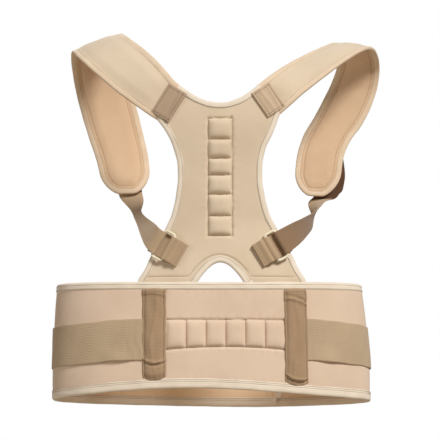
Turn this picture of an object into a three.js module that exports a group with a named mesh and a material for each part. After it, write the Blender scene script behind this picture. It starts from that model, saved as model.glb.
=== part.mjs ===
// Posture corrector: an hourglass back panel on a wide waist belt, two padded shoulder
// straps with round ends, and two twisted webbing straps that run back to the panel.
// Millimetres, +Z up. The back of the brace faces -Y and the wearer's left is -X.
// The origin is the middle of the waist belt's hollow, at the belt's mid height.

import * as THREE from "three";

// Clearances
const gap = 0.3; // between neighbouring pieces
const slack = 1.1; // between a webbing edge and the side bar of its slider

// Waist belt
const beltWidth = 404; // outside, at the widest
const beltDepth = 176; // outside, back to front
const beltSquareness = 2.3; // exponent of the oval, 2 for an ellipse
const beltTop = 74; // upper edge at the sides
const beltBottom = -76; // lower edge at the sides
const beltThickness = 4;
const beltTaper = 0.04; // share of the width that the top loses at the sides
const beltLean = 3; // the top's sides lie this far to -X
const beltDepthTaper = 0.03; // share of the depth that the top loses
const topDip = 5; // the upper edge is lower at the back by this
const bottomRise = 12; // the lower edge is cut higher at the back by this
const frontDrop = 3; // the lower edge hangs lower at the front by this
const topBindingWidth = 9;
const bottomBindingWidth = 11;
const beltBindingThickness = 5;
const closureOverlap = 60; // one belt end over the other, at the front
const closureShift = 55; // the closure sits this far to +X of the front centre
const closureRamp = 46; // length over which the outer end rises over the inner one

// Lumbar pad and stays on the belt's back
const backShift = 18; // the belt's back centre lies this far to +X
const lumbarCells = 6;
const lumbarHeight = 36;
const lumbarMiddle = 3.5; // height of the quilted row's middle
const lumbarRelief = 1.4;
const stayOffset = 88.7; // from the back centre to a stay's middle
const stayWidth = 29.6;
const stayMargin = 1; // between a stay's ends and the belt's bindings
const stayThickness = 2.2; // at its edges
const stayCrown = 2.4; // added in the middle by the stay inside

// Side elastics
const elasticWidth = 52;
const elasticThickness = 1.6;
const elasticMiddle = -3; // height of its middle beside the stay
const elasticFall = 6; // and lower by this at the side
const elasticEnd = 0.42; // where it ends on the front, as a share of the loop

// Back panel
const panelShift = 11; // the panel's middle lies this far to +X
const panelRise = 221; // from the foot to the middle of the neckline
const panelHalfWidth = 103; // at the foot
const panelThickness = 4;
const archHalfWidth = 36; // arch cut out between the two feet
const archHeight = 26;
const spineCells = 6;
const spineWidth = 30;
const spineFoot = 127; // height of the lowest seam of the quilted column
const spineTop = 275.5; // height of its highest seam
const spineRelief = 1.8;

// Edge bindings of the panel and straps
const bindingWidth = 6;
const bindingThickness = 5.6;

// Shoulder straps
const shoulderReach = 200; // from the panel's middle to the outermost strap edge
const shoulderRise = 325; // from the belt's top to the top of the straps
const strapDepth = 100; // scale of how far the straps reach to the back and front
const strapThickness = 6;
const strapEdgeThickness = 3.6;
const strapEndLength = 26; // length of the rounded end
const patchLength = 26; // along the strap
const patchInset = 0.5; // its ends stop this short of the strap's bindings
const patchThickness = 1.6;

// Webbing, its sliders and the tabs that hold them
const webbingWidth = 31;
const webbingThickness = 1.4;
const sliderWire = 3.4;
const sliderSpacing = 14.6; // from bar to bar
const tabLength = 19; // from the bar to the sewn end
const webbingTail = 8; // folded back under the slider
const sliderHeight = 114.5; // the slider's middle, up from the origin
const sliderOut = 0.675; // and sideways from the panel's middle, as a share of its half width
const sliderTilt = 60; // degrees from level to the slider's bars

const colours = {
  fabric: 0xd9c0a0,
  belt: 0xdbbaa2,
  binding: 0xe4d9c4,
  elastic: 0xaa9270,
  webbing: 0xb0987a,
  stay: 0xa58a6c,
  patch: 0x9a846c,
  plastic: 0xe6dcc0,
};

const group = new THREE.Group();

function vec(x, y, z) {
  return new THREE.Vector3(x, y, z);
}

function mix(a, b, t) {
  return a + (b - a) * t;
}

function smoothstep(t) {
  const s = Math.min(1, Math.max(0, t));
  return s * s * (3 - 2 * s);
}

// Value at t of a table with rows { at, value }, joined by smooth steps of a monotone curve
function curveThrough(rows, t) {
  const last = rows.length - 1;
  const slopes = rows.map((row, i) => {
    if (i === 0 || i === last) return 0;
    const before = (row.value - rows[i - 1].value) / (row.at - rows[i - 1].at);
    const after = (rows[i + 1].value - row.value) / (rows[i + 1].at - row.at);
    return before * after <= 0 ? 0 : (2 * before * after) / (before + after);
  });
  const first = (rows[1].value - rows[0].value) / (rows[1].at - rows[0].at);
  const final = (rows[last].value - rows[last - 1].value) / (rows[last].at - rows[last - 1].at);
  slopes[0] = first;
  slopes[last] = final;
  let i = 0;
  while (i < last - 1 && t > rows[i + 1].at) i += 1;
  const span = rows[i + 1].at - rows[i].at;
  const s = Math.min(1, Math.max(0, (t - rows[i].at) / span));
  const rise = rows[i + 1].value - rows[i].value;
  const bend = s * (1 - s);
  return rows[i].value + rise * s * s * (3 - 2 * s)
    + span * bend * ((1 - s) * slopes[i] - s * slopes[i + 1]);
}

// Closed mesh from points and triangles, with its faces turned outwards
function addSolid(name, points, triangles, colour, roughness) {
  let volume = 0;
  for (const [a, b, c] of triangles) {
    volume += points[a].dot(vec().crossVectors(points[b], points[c])) / 6;
  }
  const index = [];
  for (const [a, b, c] of triangles) {
    if (volume > 0) index.push(a, b, c);
    else index.push(a, c, b);
  }
  const geometry = new THREE.BufferGeometry().setFromPoints(points);
  geometry.setIndex(index);
  geometry.computeVertexNormals();
  const material = new THREE.MeshStandardMaterial({ color: colour, roughness, metalness: 0 });
  const mesh = new THREE.Mesh(geometry, material);
  mesh.name = name;
  group.add(mesh);
  return mesh;
}

// Normals of a grid of points, from the rows and columns beside each point
function gridNormals(grid) {
  const rows = grid.length;
  const columns = grid[0].length;
  return grid.map((row, i) => row.map((point, j) => {
    const along = vec().subVectors(grid[Math.min(i + 1, rows - 1)][j], grid[Math.max(i - 1, 0)][j]);
    const across = vec().subVectors(row[Math.min(j + 1, columns - 1)], row[Math.max(j - 1, 0)]);
    return along.cross(across).normalize();
  }));
}

// Sheet with two faces and four edges: rise(i, j) and sink(i, j) are how far each face stands
// off the grid
function addSheet(name, grid, rise, sink, colour, roughness) {
  const normals = gridNormals(grid);
  const rows = grid.length;
  const columns = grid[0].length;
  const points = [];
  for (const side of [1, -1]) {
    for (let i = 0; i < rows; i += 1) {
      for (let j = 0; j < columns; j += 1) {
        const off = side > 0 ? rise(i, j) : -sink(i, j);
        points.push(grid[i][j].clone().addScaledVector(normals[i][j], off));
      }
    }
  }
  const at = (side, i, j) => side * rows * columns + i * columns + j;
  const triangles = [];
  const quad = (a, b, c, d) => triangles.push([a, b, c], [a, c, d]);
  for (let i = 0; i < rows - 1; i += 1) {
    for (let j = 0; j < columns - 1; j += 1) {
      quad(at(0, i, j), at(0, i, j + 1), at(0, i + 1, j + 1), at(0, i + 1, j));
      quad(at(1, i, j), at(1, i + 1, j), at(1, i + 1, j + 1), at(1, i, j + 1));
    }
    quad(at(0, i, 0), at(0, i + 1, 0), at(1, i + 1, 0), at(1, i, 0));
    quad(at(0, i + 1, columns - 1), at(0, i, columns - 1), at(1, i, columns - 1),
      at(1, i + 1, columns - 1));
  }
  for (let j = 0; j < columns - 1; j += 1) {
    quad(at(0, 0, j + 1), at(0, 0, j), at(1, 0, j), at(1, 0, j + 1));
    quad(at(0, rows - 1, j), at(0, rows - 1, j + 1), at(1, rows - 1, j + 1), at(1, rows - 1, j));
  }
  return addSolid(name, points, triangles, colour, roughness);
}

// Solid swept through rings of points; a closed sweep joins its last ring to its first
function addSweep(name, rings, closed, colour, roughness) {
  const sides = rings[0].length;
  const points = rings.flat();
  const triangles = [];
  const spans = closed ? rings.length : rings.length - 1;
  for (let i = 0; i < spans; i += 1) {
    const next = (i + 1) % rings.length;
    for (let k = 0; k < sides; k += 1) {
      const turn = (k + 1) % sides;
      const corner = i * sides + k;
      const beside = i * sides + turn;
      triangles.push([corner, beside, next * sides + turn], [corner, next * sides + turn, next * sides + k]);
    }
  }
  if (!closed) {
    const end = (rings.length - 1) * sides;
    for (let k = 1; k < sides - 1; k += 1) {
      triangles.push([0, k + 1, k], [end, end + k, end + k + 1]);
    }
  }
  return addSolid(name, points, triangles, colour, roughness);
}

// Edge binding: a rounded bead along an edge, standing off it by the gap. Each edge row is
// { point, out, normal }: a point of the edge, the way out of the piece and the face's normal.
// trim is how much shorter than the edge the bead is at its first and last ends
const beadSides = 6;

function addBinding(name, rows, width, thickness, colour, trim) {
  const last = rows.length - 1;
  const edge = rows.map((row) => ({ ...row, point: row.point.clone() }));
  for (const [end, next, length] of [[0, 1, trim[0]], [last, last - 1, trim[1]]]) {
    const inwards = vec().subVectors(rows[next].point, rows[end].point).normalize();
    edge[end].point.addScaledVector(inwards, length);
  }
  const segments = [];
  for (let i = 0; i < last; i += 1) {
    const along = vec().subVectors(edge[i + 1].point, edge[i].point).normalize();
    const normal = edge[i].normal.clone().add(edge[i + 1].normal).normalize();
    const out = vec().crossVectors(along, normal).normalize();
    if (out.dot(edge[i].out) < 0) out.negate();
    segments.push(out);
  }
  const rings = edge.map((row, i) => {
    const before = segments[Math.max(0, i - 1)];
    const after = segments[Math.min(last - 1, i)];
    const out = before.clone().add(after).normalize();
    out.divideScalar(Math.max(0.6, out.dot(after)));
    const ring = [];
    for (let k = 0; k < beadSides; k += 1) {
      const angle = (2 * Math.PI * (k + 0.5)) / beadSides;
      const flat = Math.PI / beadSides;
      const across = gap + width / 2 + ((width / 2) * Math.cos(angle)) / Math.cos(flat);
      const up = (thickness / 2) * Math.sin(angle);
      ring.push(row.point.clone().addScaledVector(out, across).addScaledVector(row.normal, up));
    }
    return ring;
  });
  return addSweep(name, rings, false, colour, 0.8);
}

// Belt's plan: even steps round the oval from the back centre, each with its outward normal
const beltHalfWidth = beltWidth / 2 - beltThickness / 2;
const beltHalfDepth = beltDepth / 2 - beltThickness / 2;
const planSteps = 720;

function ovalPoint(turn) {
  const power = 2 / beltSquareness;
  const x = beltHalfWidth * Math.sign(Math.sin(turn)) * Math.abs(Math.sin(turn)) ** power;
  const y = -beltHalfDepth * Math.sign(Math.cos(turn)) * Math.abs(Math.cos(turn)) ** power;
  return new THREE.Vector2(x, y);
}

const ovalTurns = Array.from({ length: planSteps + 1 }, (_, i) => ovalPoint((2 * Math.PI * i) / planSteps));
const ovalLengths = [0];
for (let i = 1; i <= planSteps; i += 1) {
  ovalLengths.push(ovalLengths[i - 1] + ovalTurns[i].distanceTo(ovalTurns[i - 1]));
}
const beltLoop = ovalLengths[planSteps];

function planAt(arc) {
  const length = ((arc % beltLoop) + beltLoop) % beltLoop;
  let low = 0;
  let high = planSteps;
  while (high - low > 1) {
    const middle = (low + high) >> 1;
    if (ovalLengths[middle] > length) high = middle;
    else low = middle;
  }
  const t = (length - ovalLengths[low]) / (ovalLengths[high] - ovalLengths[low]);
  return ovalTurns[low].clone().lerp(ovalTurns[high], t);
}

// Closure at the front: the strip's inner end, its outer end, and the outer end's rise
const closureMiddle = beltLoop / 2 - closureShift;
const outerEnd = closureMiddle + closureOverlap / 2;
const innerEnd = outerEnd - beltLoop - closureOverlap;

function closureLift(arc) {
  const start = outerEnd - closureOverlap - closureRamp;
  return (beltBindingThickness + gap) * smoothstep((arc - start) / (closureRamp - gap));
}

function beltUpperEdge(arc) {
  const back = Math.cos((Math.PI * arc) / beltLoop) ** 2;
  return beltTop - topDip * back ** 2;
}

function beltLowerEdge(arc) {
  const back = Math.cos((Math.PI * (arc + 1.5 * backShift)) / beltLoop) ** 8;
  const front = Math.sin((Math.PI * (arc + closureShift)) / beltLoop) ** 8;
  return beltBottom + bottomRise * back - frontDrop * front;
}

// Point of the belt's middle surface moved out by off; arc runs round the loop, 0 at the back
function beltPoint(arc, height, off) {
  const share = Math.max(0, (height - beltBottom) / (beltTop - beltBottom));
  const shallow = 1 - beltDepthTaper * share ** 2;
  const step = beltLoop / planSteps;
  const here = planAt(arc);
  const along = planAt(arc + step).sub(planAt(arc - step)).normalize();
  const lift = off + closureLift(arc);
  const sideways = (share * here.x) / beltHalfWidth;
  const x = here.x * (1 - beltTaper * sideways ** 2) - beltLean * sideways ** 2;
  return vec(x + along.y * lift, here.y * shallow - along.x * lift, height);
}

// Quilted square's profile: 0 on its seams and 1 in its middle, a and b from 0 to 1 across it
function quiltProfile(a, b) {
  const edgeA = 1 - Math.abs(2 * a - 1) ** 3;
  const edgeB = 1 - Math.abs(2 * b - 1) ** 3;
  return Math.max(0, edgeA) * Math.max(0, edgeB);
}

// Belt body
const lumbarHalfWidth = stayOffset - stayWidth / 2;
const cellWidth = (2 * lumbarHalfWidth) / lumbarCells;
const cellColumns = [0, 0.2, 0.8]; // each quilted cell's columns, as shares of its width
const lumbarStart = backShift - lumbarHalfWidth;
const lumbarEnd = backShift + lumbarHalfWidth;
const lumbarFloor = lumbarMiddle - lumbarHeight / 2;
const beltColumnStep = 22;
const beltRows = [-1, 0, 0.25, 0.75, 1, 2]; // -1 and 2 are the edges, 0 to 1 the quilted row

function evenSteps(from, to, step) {
  const count = Math.max(1, Math.round((to - from) / step));
  return Array.from({ length: count }, (_, i) => mix(from, to, i / count));
}

const rampStart = outerEnd - closureOverlap - closureRamp;
const stayShares = [0, 0.3, 0.7, 1]; // a stay's columns, as shares of its width
const stayColumns = stayShares.slice(0, -1).map((share) => share * stayWidth);
const beltArcs = [
  ...evenSteps(innerEnd, lumbarStart - stayWidth, beltColumnStep),
  ...stayColumns.map((step) => lumbarStart - stayWidth + step),
  ...Array.from({ length: lumbarCells }, (_, cell) => cellColumns.map(
    (share) => lumbarStart + (cell + share) * cellWidth)).flat(),
  ...stayColumns.map((step) => lumbarEnd + step),
  ...evenSteps(lumbarEnd + stayWidth, rampStart, beltColumnStep),
  ...evenSteps(rampStart, outerEnd, beltColumnStep / 2),
  outerEnd,
];

function beltBodyLow(arc) {
  return beltLowerEdge(arc) + bottomBindingWidth + gap;
}

function beltBodyHigh(arc) {
  return beltUpperEdge(arc) - topBindingWidth - gap;
}

function beltRowHeight(row, arc) {
  if (row < 0) return beltBodyLow(arc);
  if (row > 1) return beltBodyHigh(arc);
  return lumbarFloor + row * lumbarHeight;
}

function lumbarLift(i, j) {
  const across = (beltArcs[i] - lumbarStart) / cellWidth;
  const inside = across > 0 && across < lumbarCells && beltRows[j] > 0 && beltRows[j] < 1;
  return inside ? lumbarRelief * quiltProfile(across % 1, beltRows[j]) : 0;
}

const beltGrid = beltArcs.map((arc) => beltRows.map((row) => beltPoint(arc, beltRowHeight(row, arc), 0)));
const beltHalf = beltThickness / 2;
addSheet("belt_body", beltGrid, (i, j) => beltHalf + lumbarLift(i, j), () => beltHalf,
  colours.belt, 0.9);

// Point that stands off the belt's outer face, above the flat facets of the belt's own grid
const beltNormals = gridNormals(beltGrid);

function aboveColumn(i, height, off) {
  const column = beltGrid[i];
  let j = 0;
  while (j < column.length - 2 && height > column[j + 1].z) j += 1;
  const t = (height - column[j].z) / (column[j + 1].z - column[j].z);
  const low = column[j].clone().addScaledVector(beltNormals[i][j], off);
  return low.lerp(column[j + 1].clone().addScaledVector(beltNormals[i][j + 1], off), t);
}

function beltFace(arc, height, off) {
  let i = 0;
  while (i < beltArcs.length - 2 && arc > beltArcs[i + 1]) i += 1;
  const t = (arc - beltArcs[i]) / (beltArcs[i + 1] - beltArcs[i]);
  return aboveColumn(i, height, beltHalf + off).lerp(aboveColumn(i + 1, height, beltHalf + off), t);
}

// Heights of the belt grid's inner rows, where a piece that lies on the belt bends with it
const bendHeights = beltRows.slice(1, -1).map((row) => beltRowHeight(row, 0));

function heightsBetween(low, high, step) {
  const bends = bendHeights.filter((height) => height > low + 1 && height < high - 1);
  const stops = [low, ...bends, high];
  const heights = stops.slice(0, -1).map((height, i) => evenSteps(height, stops[i + 1], step));
  return [...heights.flat(), high];
}

// Bindings along the belt's two long edges and round its two ends
function beltEdge(arcs, heightAt, upwards) {
  return arcs.map((arc) => {
    const point = beltPoint(arc, heightAt(arc), 0);
    const face = beltPoint(arc, heightAt(arc), 1).sub(point).normalize();
    return { point, out: vec(0, 0, upwards), normal: face };
  });
}

addBinding("belt_binding_top", beltEdge(beltArcs, beltBodyHigh, 1), topBindingWidth - gap,
  beltBindingThickness, colours.binding, [0, 0]);
addBinding("belt_binding_bottom", beltEdge(beltArcs, beltBodyLow, -1), bottomBindingWidth - gap,
  beltBindingThickness, colours.binding, [0, 0]);

for (const [name, column, way] of [["inner", 0, -1], ["outer", beltArcs.length - 1, 1]]) {
  const along = beltGrid[column][0].clone().sub(beltGrid[column - way][0]).normalize();
  const rows = beltGrid[column].map((point, j) => ({ point, normal: beltNormals[column][j], out: along }));
  addBinding(`belt_end_binding_${name}`, rows, bindingWidth, beltBindingThickness,
    colours.binding, [0, 0]);
}

// Stays: stitched pockets on the belt's back, each crowned over the stay inside it
const stayRowStep = 26;

for (const [side, name] of [[-1, "left"], [1, "right"]]) {
  const start = backShift + side * stayOffset - stayWidth / 2;
  const middle = start + stayWidth / 2;
  const heights = heightsBetween(beltBodyLow(middle), beltBodyHigh(middle), stayRowStep);
  const grid = stayShares.map((share) => {
    const arc = start + share * stayWidth;
    const roundness = (2 * share - 1) ** 2 * stayWidth * 0.16;
    const low = beltBodyLow(arc) + stayMargin + roundness;
    const high = beltBodyHigh(arc) - stayMargin - roundness * 0.3;
    return [low, ...heights.slice(1, -1), high].map((height) => beltFace(arc, height, gap));
  });
  const crown = (i, j) => {
    const inner = i > 0 && i < grid.length - 1 && j > 0 && j < grid[0].length - 1;
    return stayThickness + (inner ? stayCrown : 0);
  };
  addSheet(`stay_pocket_${name}`, grid, crown, () => 0, colours.stay, 0.85);
}

// Side elastics: from the outer edge of each stay round the side to the front
for (const [side, name] of [[-1, "left"], [1, "right"]]) {
  const start = backShift + side * (stayOffset + stayWidth / 2 + gap);
  const end = side * elasticEnd * beltLoop;
  const [from, to] = side < 0 ? [end, start] : [start, end];
  const arcs = [from, ...beltArcs.filter((arc) => arc > from + 1 && arc < to - 1), to];
  const grid = arcs.map((arc) => {
    const fall = elasticFall * smoothstep((2.2 * (arc - start)) / (end - start));
    const middle = elasticMiddle - fall;
    const heights = [middle - elasticWidth / 2, bendHeights[0], bendHeights[2],
      middle + elasticWidth / 2];
    return heights.map((height) => beltFace(arc, height, gap));
  });
  addSheet(`side_elastic_${name}`, grid, (i, j) => elasticThickness * (j % 3 ? 1.4 : 1), () => 0,
    colours.elastic, 0.9);
}

// Back panel: its outline in the plane x, z, measured from its middle and its foot. Half
// widths are shares of panelHalfWidth and heights shares of panelRise
const panelSides = [
  { at: 0, left: 1, right: 1.045 },
  { at: 0.066, left: 0.91, right: 0.955 },
  { at: 0.131, left: 0.85, right: 0.89 },
  { at: 0.276, left: 0.68, right: 0.71 },
  { at: 0.376, left: 0.587, right: 0.602 },
  { at: 0.477, left: 0.537, right: 0.545 },
  { at: 0.577, left: 0.513, right: 0.515 },
  { at: 0.649, left: 0.517, right: 0.517 },
  { at: 0.753, left: 0.57, right: 0.56 },
  { at: 0.84, left: 0.655, right: 0.65 },
];
const panelCorners = {
  left: { outerX: 0.755, outerZ: 0.9, innerX: 0.485, innerZ: 1.1 },
  right: { outerX: 0.715, outerZ: 0.93, innerX: 0.46, innerZ: 1.105 },
};

// How far the panel's middle line stands back of its foot, as shares of strapDepth
const panelProfile = [
  { at: 0, value: 0 },
  { at: 0.3, value: -0.035 },
  { at: 0.65, value: 0.01 },
  { at: 0.9, value: 0.045 },
  { at: 1.1, value: 0.03 },
];
const panelFoot = beltTop; // the height from which the outline is measured
const panelFootY = beltPoint(backShift, beltTop, 0).y;
const panelBow = beltPoint(backShift + panelHalfWidth, beltTop, 0).y - panelFootY;

function panelY(x, z) {
  const share = (z - panelFoot) / panelRise;
  const bow = panelBow * (x / panelHalfWidth) ** 2;
  return panelFootY - strapDepth * curveThrough(panelProfile, share) + bow;
}

function panelPoint(x, z) {
  return vec(panelShift + x, panelY(x, z), z);
}

function panelNormal(x, z) {
  const along = panelPoint(x + 1, z).sub(panelPoint(x - 1, z));
  return along.cross(panelPoint(x, z + 1).sub(panelPoint(x, z - 1))).normalize();
}

// Outline of one half, side -1 or 1, t from 0 to 1 along each of its four borders
const cut = bindingWidth + gap;

function cornerOf(side) {
  return side < 0 ? panelCorners.left : panelCorners.right;
}

function seamEnd(side, share) {
  const corner = cornerOf(side);
  const outer = new THREE.Vector2(corner.outerX * panelHalfWidth, corner.outerZ * panelRise);
  const inner = new THREE.Vector2(corner.innerX * panelHalfWidth, corner.innerZ * panelRise);
  const width = outer.distanceTo(inner);
  return outer.lerp(inner, mix(cut / width, 1 - cut / width, share));
}

function sideBorder(side, t) {
  const corner = seamEnd(side, 0);
  const up = corner.y / panelRise;
  const rows = panelSides.map((row) => ({ at: row.at, value: side < 0 ? row.left : row.right }));
  rows.push({ at: up, value: (corner.x + cut) / panelHalfWidth });
  const x = curveThrough(rows, t * up) * panelHalfWidth - cut;
  return new THREE.Vector2(x, mix(footLine(side, x), corner.y, t));
}

function middleBorder(t) {
  return new THREE.Vector2(0, mix(archHeight, panelRise - cut, t));
}

// Both corners of a half, between the arch and the hem and between the neckline and the seam,
// lie at this share of the way from the middle to the side
const cornerShare = 0.5;

function footLine(side, x) {
  return beltUpperEdge(panelShift + side * x) + gap - panelFoot;
}

function lowerBorder(side, t) {
  if (t > cornerShare) {
    const out = (t - cornerShare) / (1 - cornerShare);
    const foot = side < 0 ? panelSides[0].left : panelSides[0].right;
    const x = mix(archHalfWidth, foot * panelHalfWidth - cut, out);
    return new THREE.Vector2(x, footLine(side, x));
  }
  const x = archHalfWidth * Math.sin((Math.PI / 2) * (t / cornerShare));
  const low = footLine(side, archHalfWidth);
  return new THREE.Vector2(x, mix(archHeight, low, (x / archHalfWidth) ** 2));
}

function upperBorder(side, t) {
  if (t > cornerShare) return seamEnd(side, (1 - t) / (1 - cornerShare));
  const inner = seamEnd(side, 1);
  const low = panelRise - cut;
  const s = t / cornerShare;
  return new THREE.Vector2(inner.x * s, low + (inner.y - low) * s ** 2);
}

// Point of a half at u from the middle to the side and v from the foot to the top
function halfPoint(side, u, v) {
  const ruled = lowerBorder(side, u).lerp(upperBorder(side, u), v);
  const across = middleBorder(v).lerp(sideBorder(side, v), u);
  const flat = lowerBorder(side, 0).lerp(lowerBorder(side, 1), u)
    .lerp(upperBorder(side, 0).lerp(upperBorder(side, 1), u), v);
  return ruled.add(across).sub(flat);
}

// The u at which a row of the half reaches a given half width
function shareAcross(side, width, v) {
  let low = 0;
  let high = 1;
  for (let i = 0; i < 24; i += 1) {
    const middle = (low + high) / 2;
    if (halfPoint(side, middle, v).x > width) high = middle;
    else low = middle;
  }
  return low;
}

const spineStart = (spineFoot - panelFoot - archHeight) / (panelRise - cut - archHeight);
const spineEnd = (spineTop - panelFoot - archHeight) / (panelRise - cut - archHeight);
const cellRows = [0, 0.25, 0.75];
const panelRows = [
  ...evenSteps(0, spineStart, spineStart / 3),
  ...Array.from({ length: spineCells }, (_, cell) => cellRows.map(
    (share) => mix(spineStart, spineEnd, (cell + share) / spineCells))).flat(),
  spineEnd,
  ...evenSteps(spineEnd, 1, (1 - spineEnd) / 2).slice(1),
  1,
];
const spineColumns = [0, 0.7, 1]; // of half the quilted column
const sideColumns = [1 / 3, 2 / 3, 1]; // from the quilting to the corners, and on to the side
const halfColumns = [
  ...spineColumns.map((share) => ({ spine: share, inner: 0, outer: 0 })),
  ...sideColumns.map((share) => ({ spine: 1, inner: share, outer: 0 })),
  ...sideColumns.map((share) => ({ spine: 1, inner: 1, outer: share })),
];
const cornerColumn = spineColumns.length + sideColumns.length - 1;

function panelColumn(side, column) {
  return panelRows.map((v) => {
    const quilt = shareAcross(side, column.spine * (spineWidth / 2), v);
    const u = mix(mix(quilt, cornerShare, column.inner), 1, column.outer);
    const point = halfPoint(side, u, v);
    return { x: side * point.x, z: panelFoot + point.y, v, column };
  });
}

const panelColumns = [
  ...halfColumns.slice(1).reverse().map((column) => panelColumn(-1, column)),
  ...halfColumns.map((column) => panelColumn(1, column)),
];
const panelGrid = panelColumns.map((rows) => rows.map((row) => panelPoint(row.x, row.z)));
const panelHalf = panelThickness / 2;

function spineLift(i, j) {
  const { column, v } = panelColumns[i][j];
  if (column.inner > 0 || v <= spineStart || v >= spineEnd) return 0;
  const up = (((v - spineStart) / (spineEnd - spineStart)) * spineCells) % 1;
  return spineRelief * quiltProfile(0.5 + column.spine / 2, up);
}

addSheet("back_panel", panelGrid, (i, j) => panelHalf + spineLift(i, j), () => panelHalf,
  colours.fabric, 0.9);

// Bindings of the neckline, the arch and the two sides, along the panel grid's own edges
const panelNormals = gridNormals(panelGrid);
const middleColumn = halfColumns.length - 1;
const topRow = panelRows.length - 1;

function panelEdge(columns, rows, out) {
  return columns.flatMap((i) => rows.map((j) => (
    { point: panelGrid[i][j], normal: panelNormals[i][j], out })));
}

const scoopColumns = Array.from({ length: 2 * cornerColumn + 1 },
  (_, i) => middleColumn - cornerColumn + i);
addBinding("neck_binding", panelEdge(scoopColumns, [topRow], vec(0, 0, 1)), bindingWidth,
  bindingThickness, colours.binding, [0, 0]);
addBinding("arch_binding", panelEdge(scoopColumns, [0], vec(0, 0, -1)), bindingWidth,
  bindingThickness, colours.binding, [bindingWidth, bindingWidth]);

const allRows = panelRows.map((_, j) => j);
for (const [side, name] of [[-1, "left"], [1, "right"]]) {
  const column = middleColumn + side * middleColumn;
  addBinding(`side_binding_${name}`, panelEdge([column], allRows, vec(side, 0, 0)), bindingWidth,
    bindingThickness, colours.binding, [bindingWidth / 2, 0.4 * bindingWidth]);
}

// Shoulder straps: rows along each strap from the panel's seam, up over the shoulder and
// down to the round end in front. outer and inner are its two edges: x from the panel's
// middle as a share of shoulderReach, y as a share of strapDepth, z from the belt's top as a
// share of shoulderRise
const strapRows = {
  left: [
    { outerX: -0.51, outerY: -0.86, outerZ: 0.66, innerX: -0.33, innerY: -0.84, innerZ: 0.81 },
    { outerX: -0.67, outerY: -0.77, outerZ: 0.73, innerX: -0.43, innerY: -0.7, innerZ: 0.877 },
    { outerX: -0.8, outerY: -0.6, outerZ: 0.815, innerX: -0.525, innerY: -0.52, innerZ: 0.93 },
    { outerX: -0.91, outerY: -0.36, outerZ: 0.886, innerX: -0.6, innerY: -0.28, innerZ: 0.975 },
    { outerX: -0.955, outerY: -0.08, outerZ: 0.923, innerX: -0.64, innerY: 0, innerZ: 1 },
    { outerX: -0.97, outerY: 0.2, outerZ: 0.91, innerX: -0.655, innerY: 0.26, innerZ: 0.98 },
    { outerX: -0.965, outerY: 0.41, outerZ: 0.865, innerX: -0.63, innerY: 0.45, innerZ: 0.92 },
    { outerX: -0.945, outerY: 0.52, outerZ: 0.79, innerX: -0.59, innerY: 0.54, innerZ: 0.83 },
    { outerX: -0.905, outerY: 0.56, outerZ: 0.7, innerX: -0.545, innerY: 0.58, innerZ: 0.725 },
    { outerX: -0.86, outerY: 0.56, outerZ: 0.61, innerX: -0.507, innerY: 0.58, innerZ: 0.63 },
    { outerX: -0.81, outerY: 0.53, outerZ: 0.52, innerX: -0.473, innerY: 0.55, innerZ: 0.54 },
    { outerX: -0.765, outerY: 0.45, outerZ: 0.393, innerX: -0.45, innerY: 0.47, innerZ: 0.4 },
  ],
  right: [
    { outerX: 0.46, outerY: -0.86, outerZ: 0.69, innerX: 0.33, innerY: -0.74, innerZ: 0.81 },
    { outerX: 0.585, outerY: -0.83, outerZ: 0.75, innerX: 0.455, innerY: -0.54, innerZ: 0.86 },
    { outerX: 0.715, outerY: -0.7, outerZ: 0.82, innerX: 0.585, innerY: -0.34, innerZ: 0.91 },
    { outerX: 0.855, outerY: -0.46, outerZ: 0.89, innerX: 0.68, innerY: -0.14, innerZ: 0.945 },
    { outerX: 0.98, outerY: -0.12, outerZ: 0.938, innerX: 0.74, innerY: 0.06, innerZ: 0.965 },
    { outerX: 1.03, outerY: 0.16, outerZ: 0.92, innerX: 0.765, innerY: 0.24, innerZ: 0.945 },
    { outerX: 1.045, outerY: 0.36, outerZ: 0.88, innerX: 0.765, innerY: 0.39, innerZ: 0.89 },
    { outerX: 1.035, outerY: 0.46, outerZ: 0.82, innerX: 0.73, innerY: 0.47, innerZ: 0.825 },
    { outerX: 1, outerY: 0.5, outerZ: 0.75, innerX: 0.675, innerY: 0.5, innerZ: 0.755 },
    { outerX: 0.935, outerY: 0.5, outerZ: 0.67, innerX: 0.61, innerY: 0.5, innerZ: 0.68 },
    { outerX: 0.855, outerY: 0.47, outerZ: 0.6, innerX: 0.545, innerY: 0.47, innerZ: 0.61 },
    { outerX: 0.81, outerY: 0.43, outerZ: 0.535, innerX: 0.505, innerY: 0.43, innerZ: 0.535 },
    { outerX: 0.79, outerY: 0.38, outerZ: 0.455, innerX: 0.49, innerY: 0.38, innerZ: 0.455 },
    { outerX: 0.765, outerY: 0.34, outerZ: 0.38, innerX: 0.485, innerY: 0.34, innerZ: 0.385 },
  ],
};
const strapTop = beltTop;

function strapPlace(x, y, z) {
  return vec(panelShift + x * shoulderReach, y * strapDepth, strapTop + z * shoulderRise);
}

// The seam between the panel and a strap: its ends inside the bindings, the way on along the
// strap and the panel's normal
function strapSeam(side) {
  const ends = [0, 1].map((share) => {
    const flat = seamEnd(side, share);
    return panelPoint(side * flat.x, panelFoot + flat.y);
  });
  const middle = seamEnd(side, 0.5);
  const normal = panelNormal(side * middle.x, panelFoot + middle.y);
  const across = ends[1].clone().sub(ends[0]).normalize();
  const away = vec().crossVectors(across, normal).normalize();
  if (away.x * side < 0) away.negate();
  return { ends, across, away, normal };
}

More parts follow.
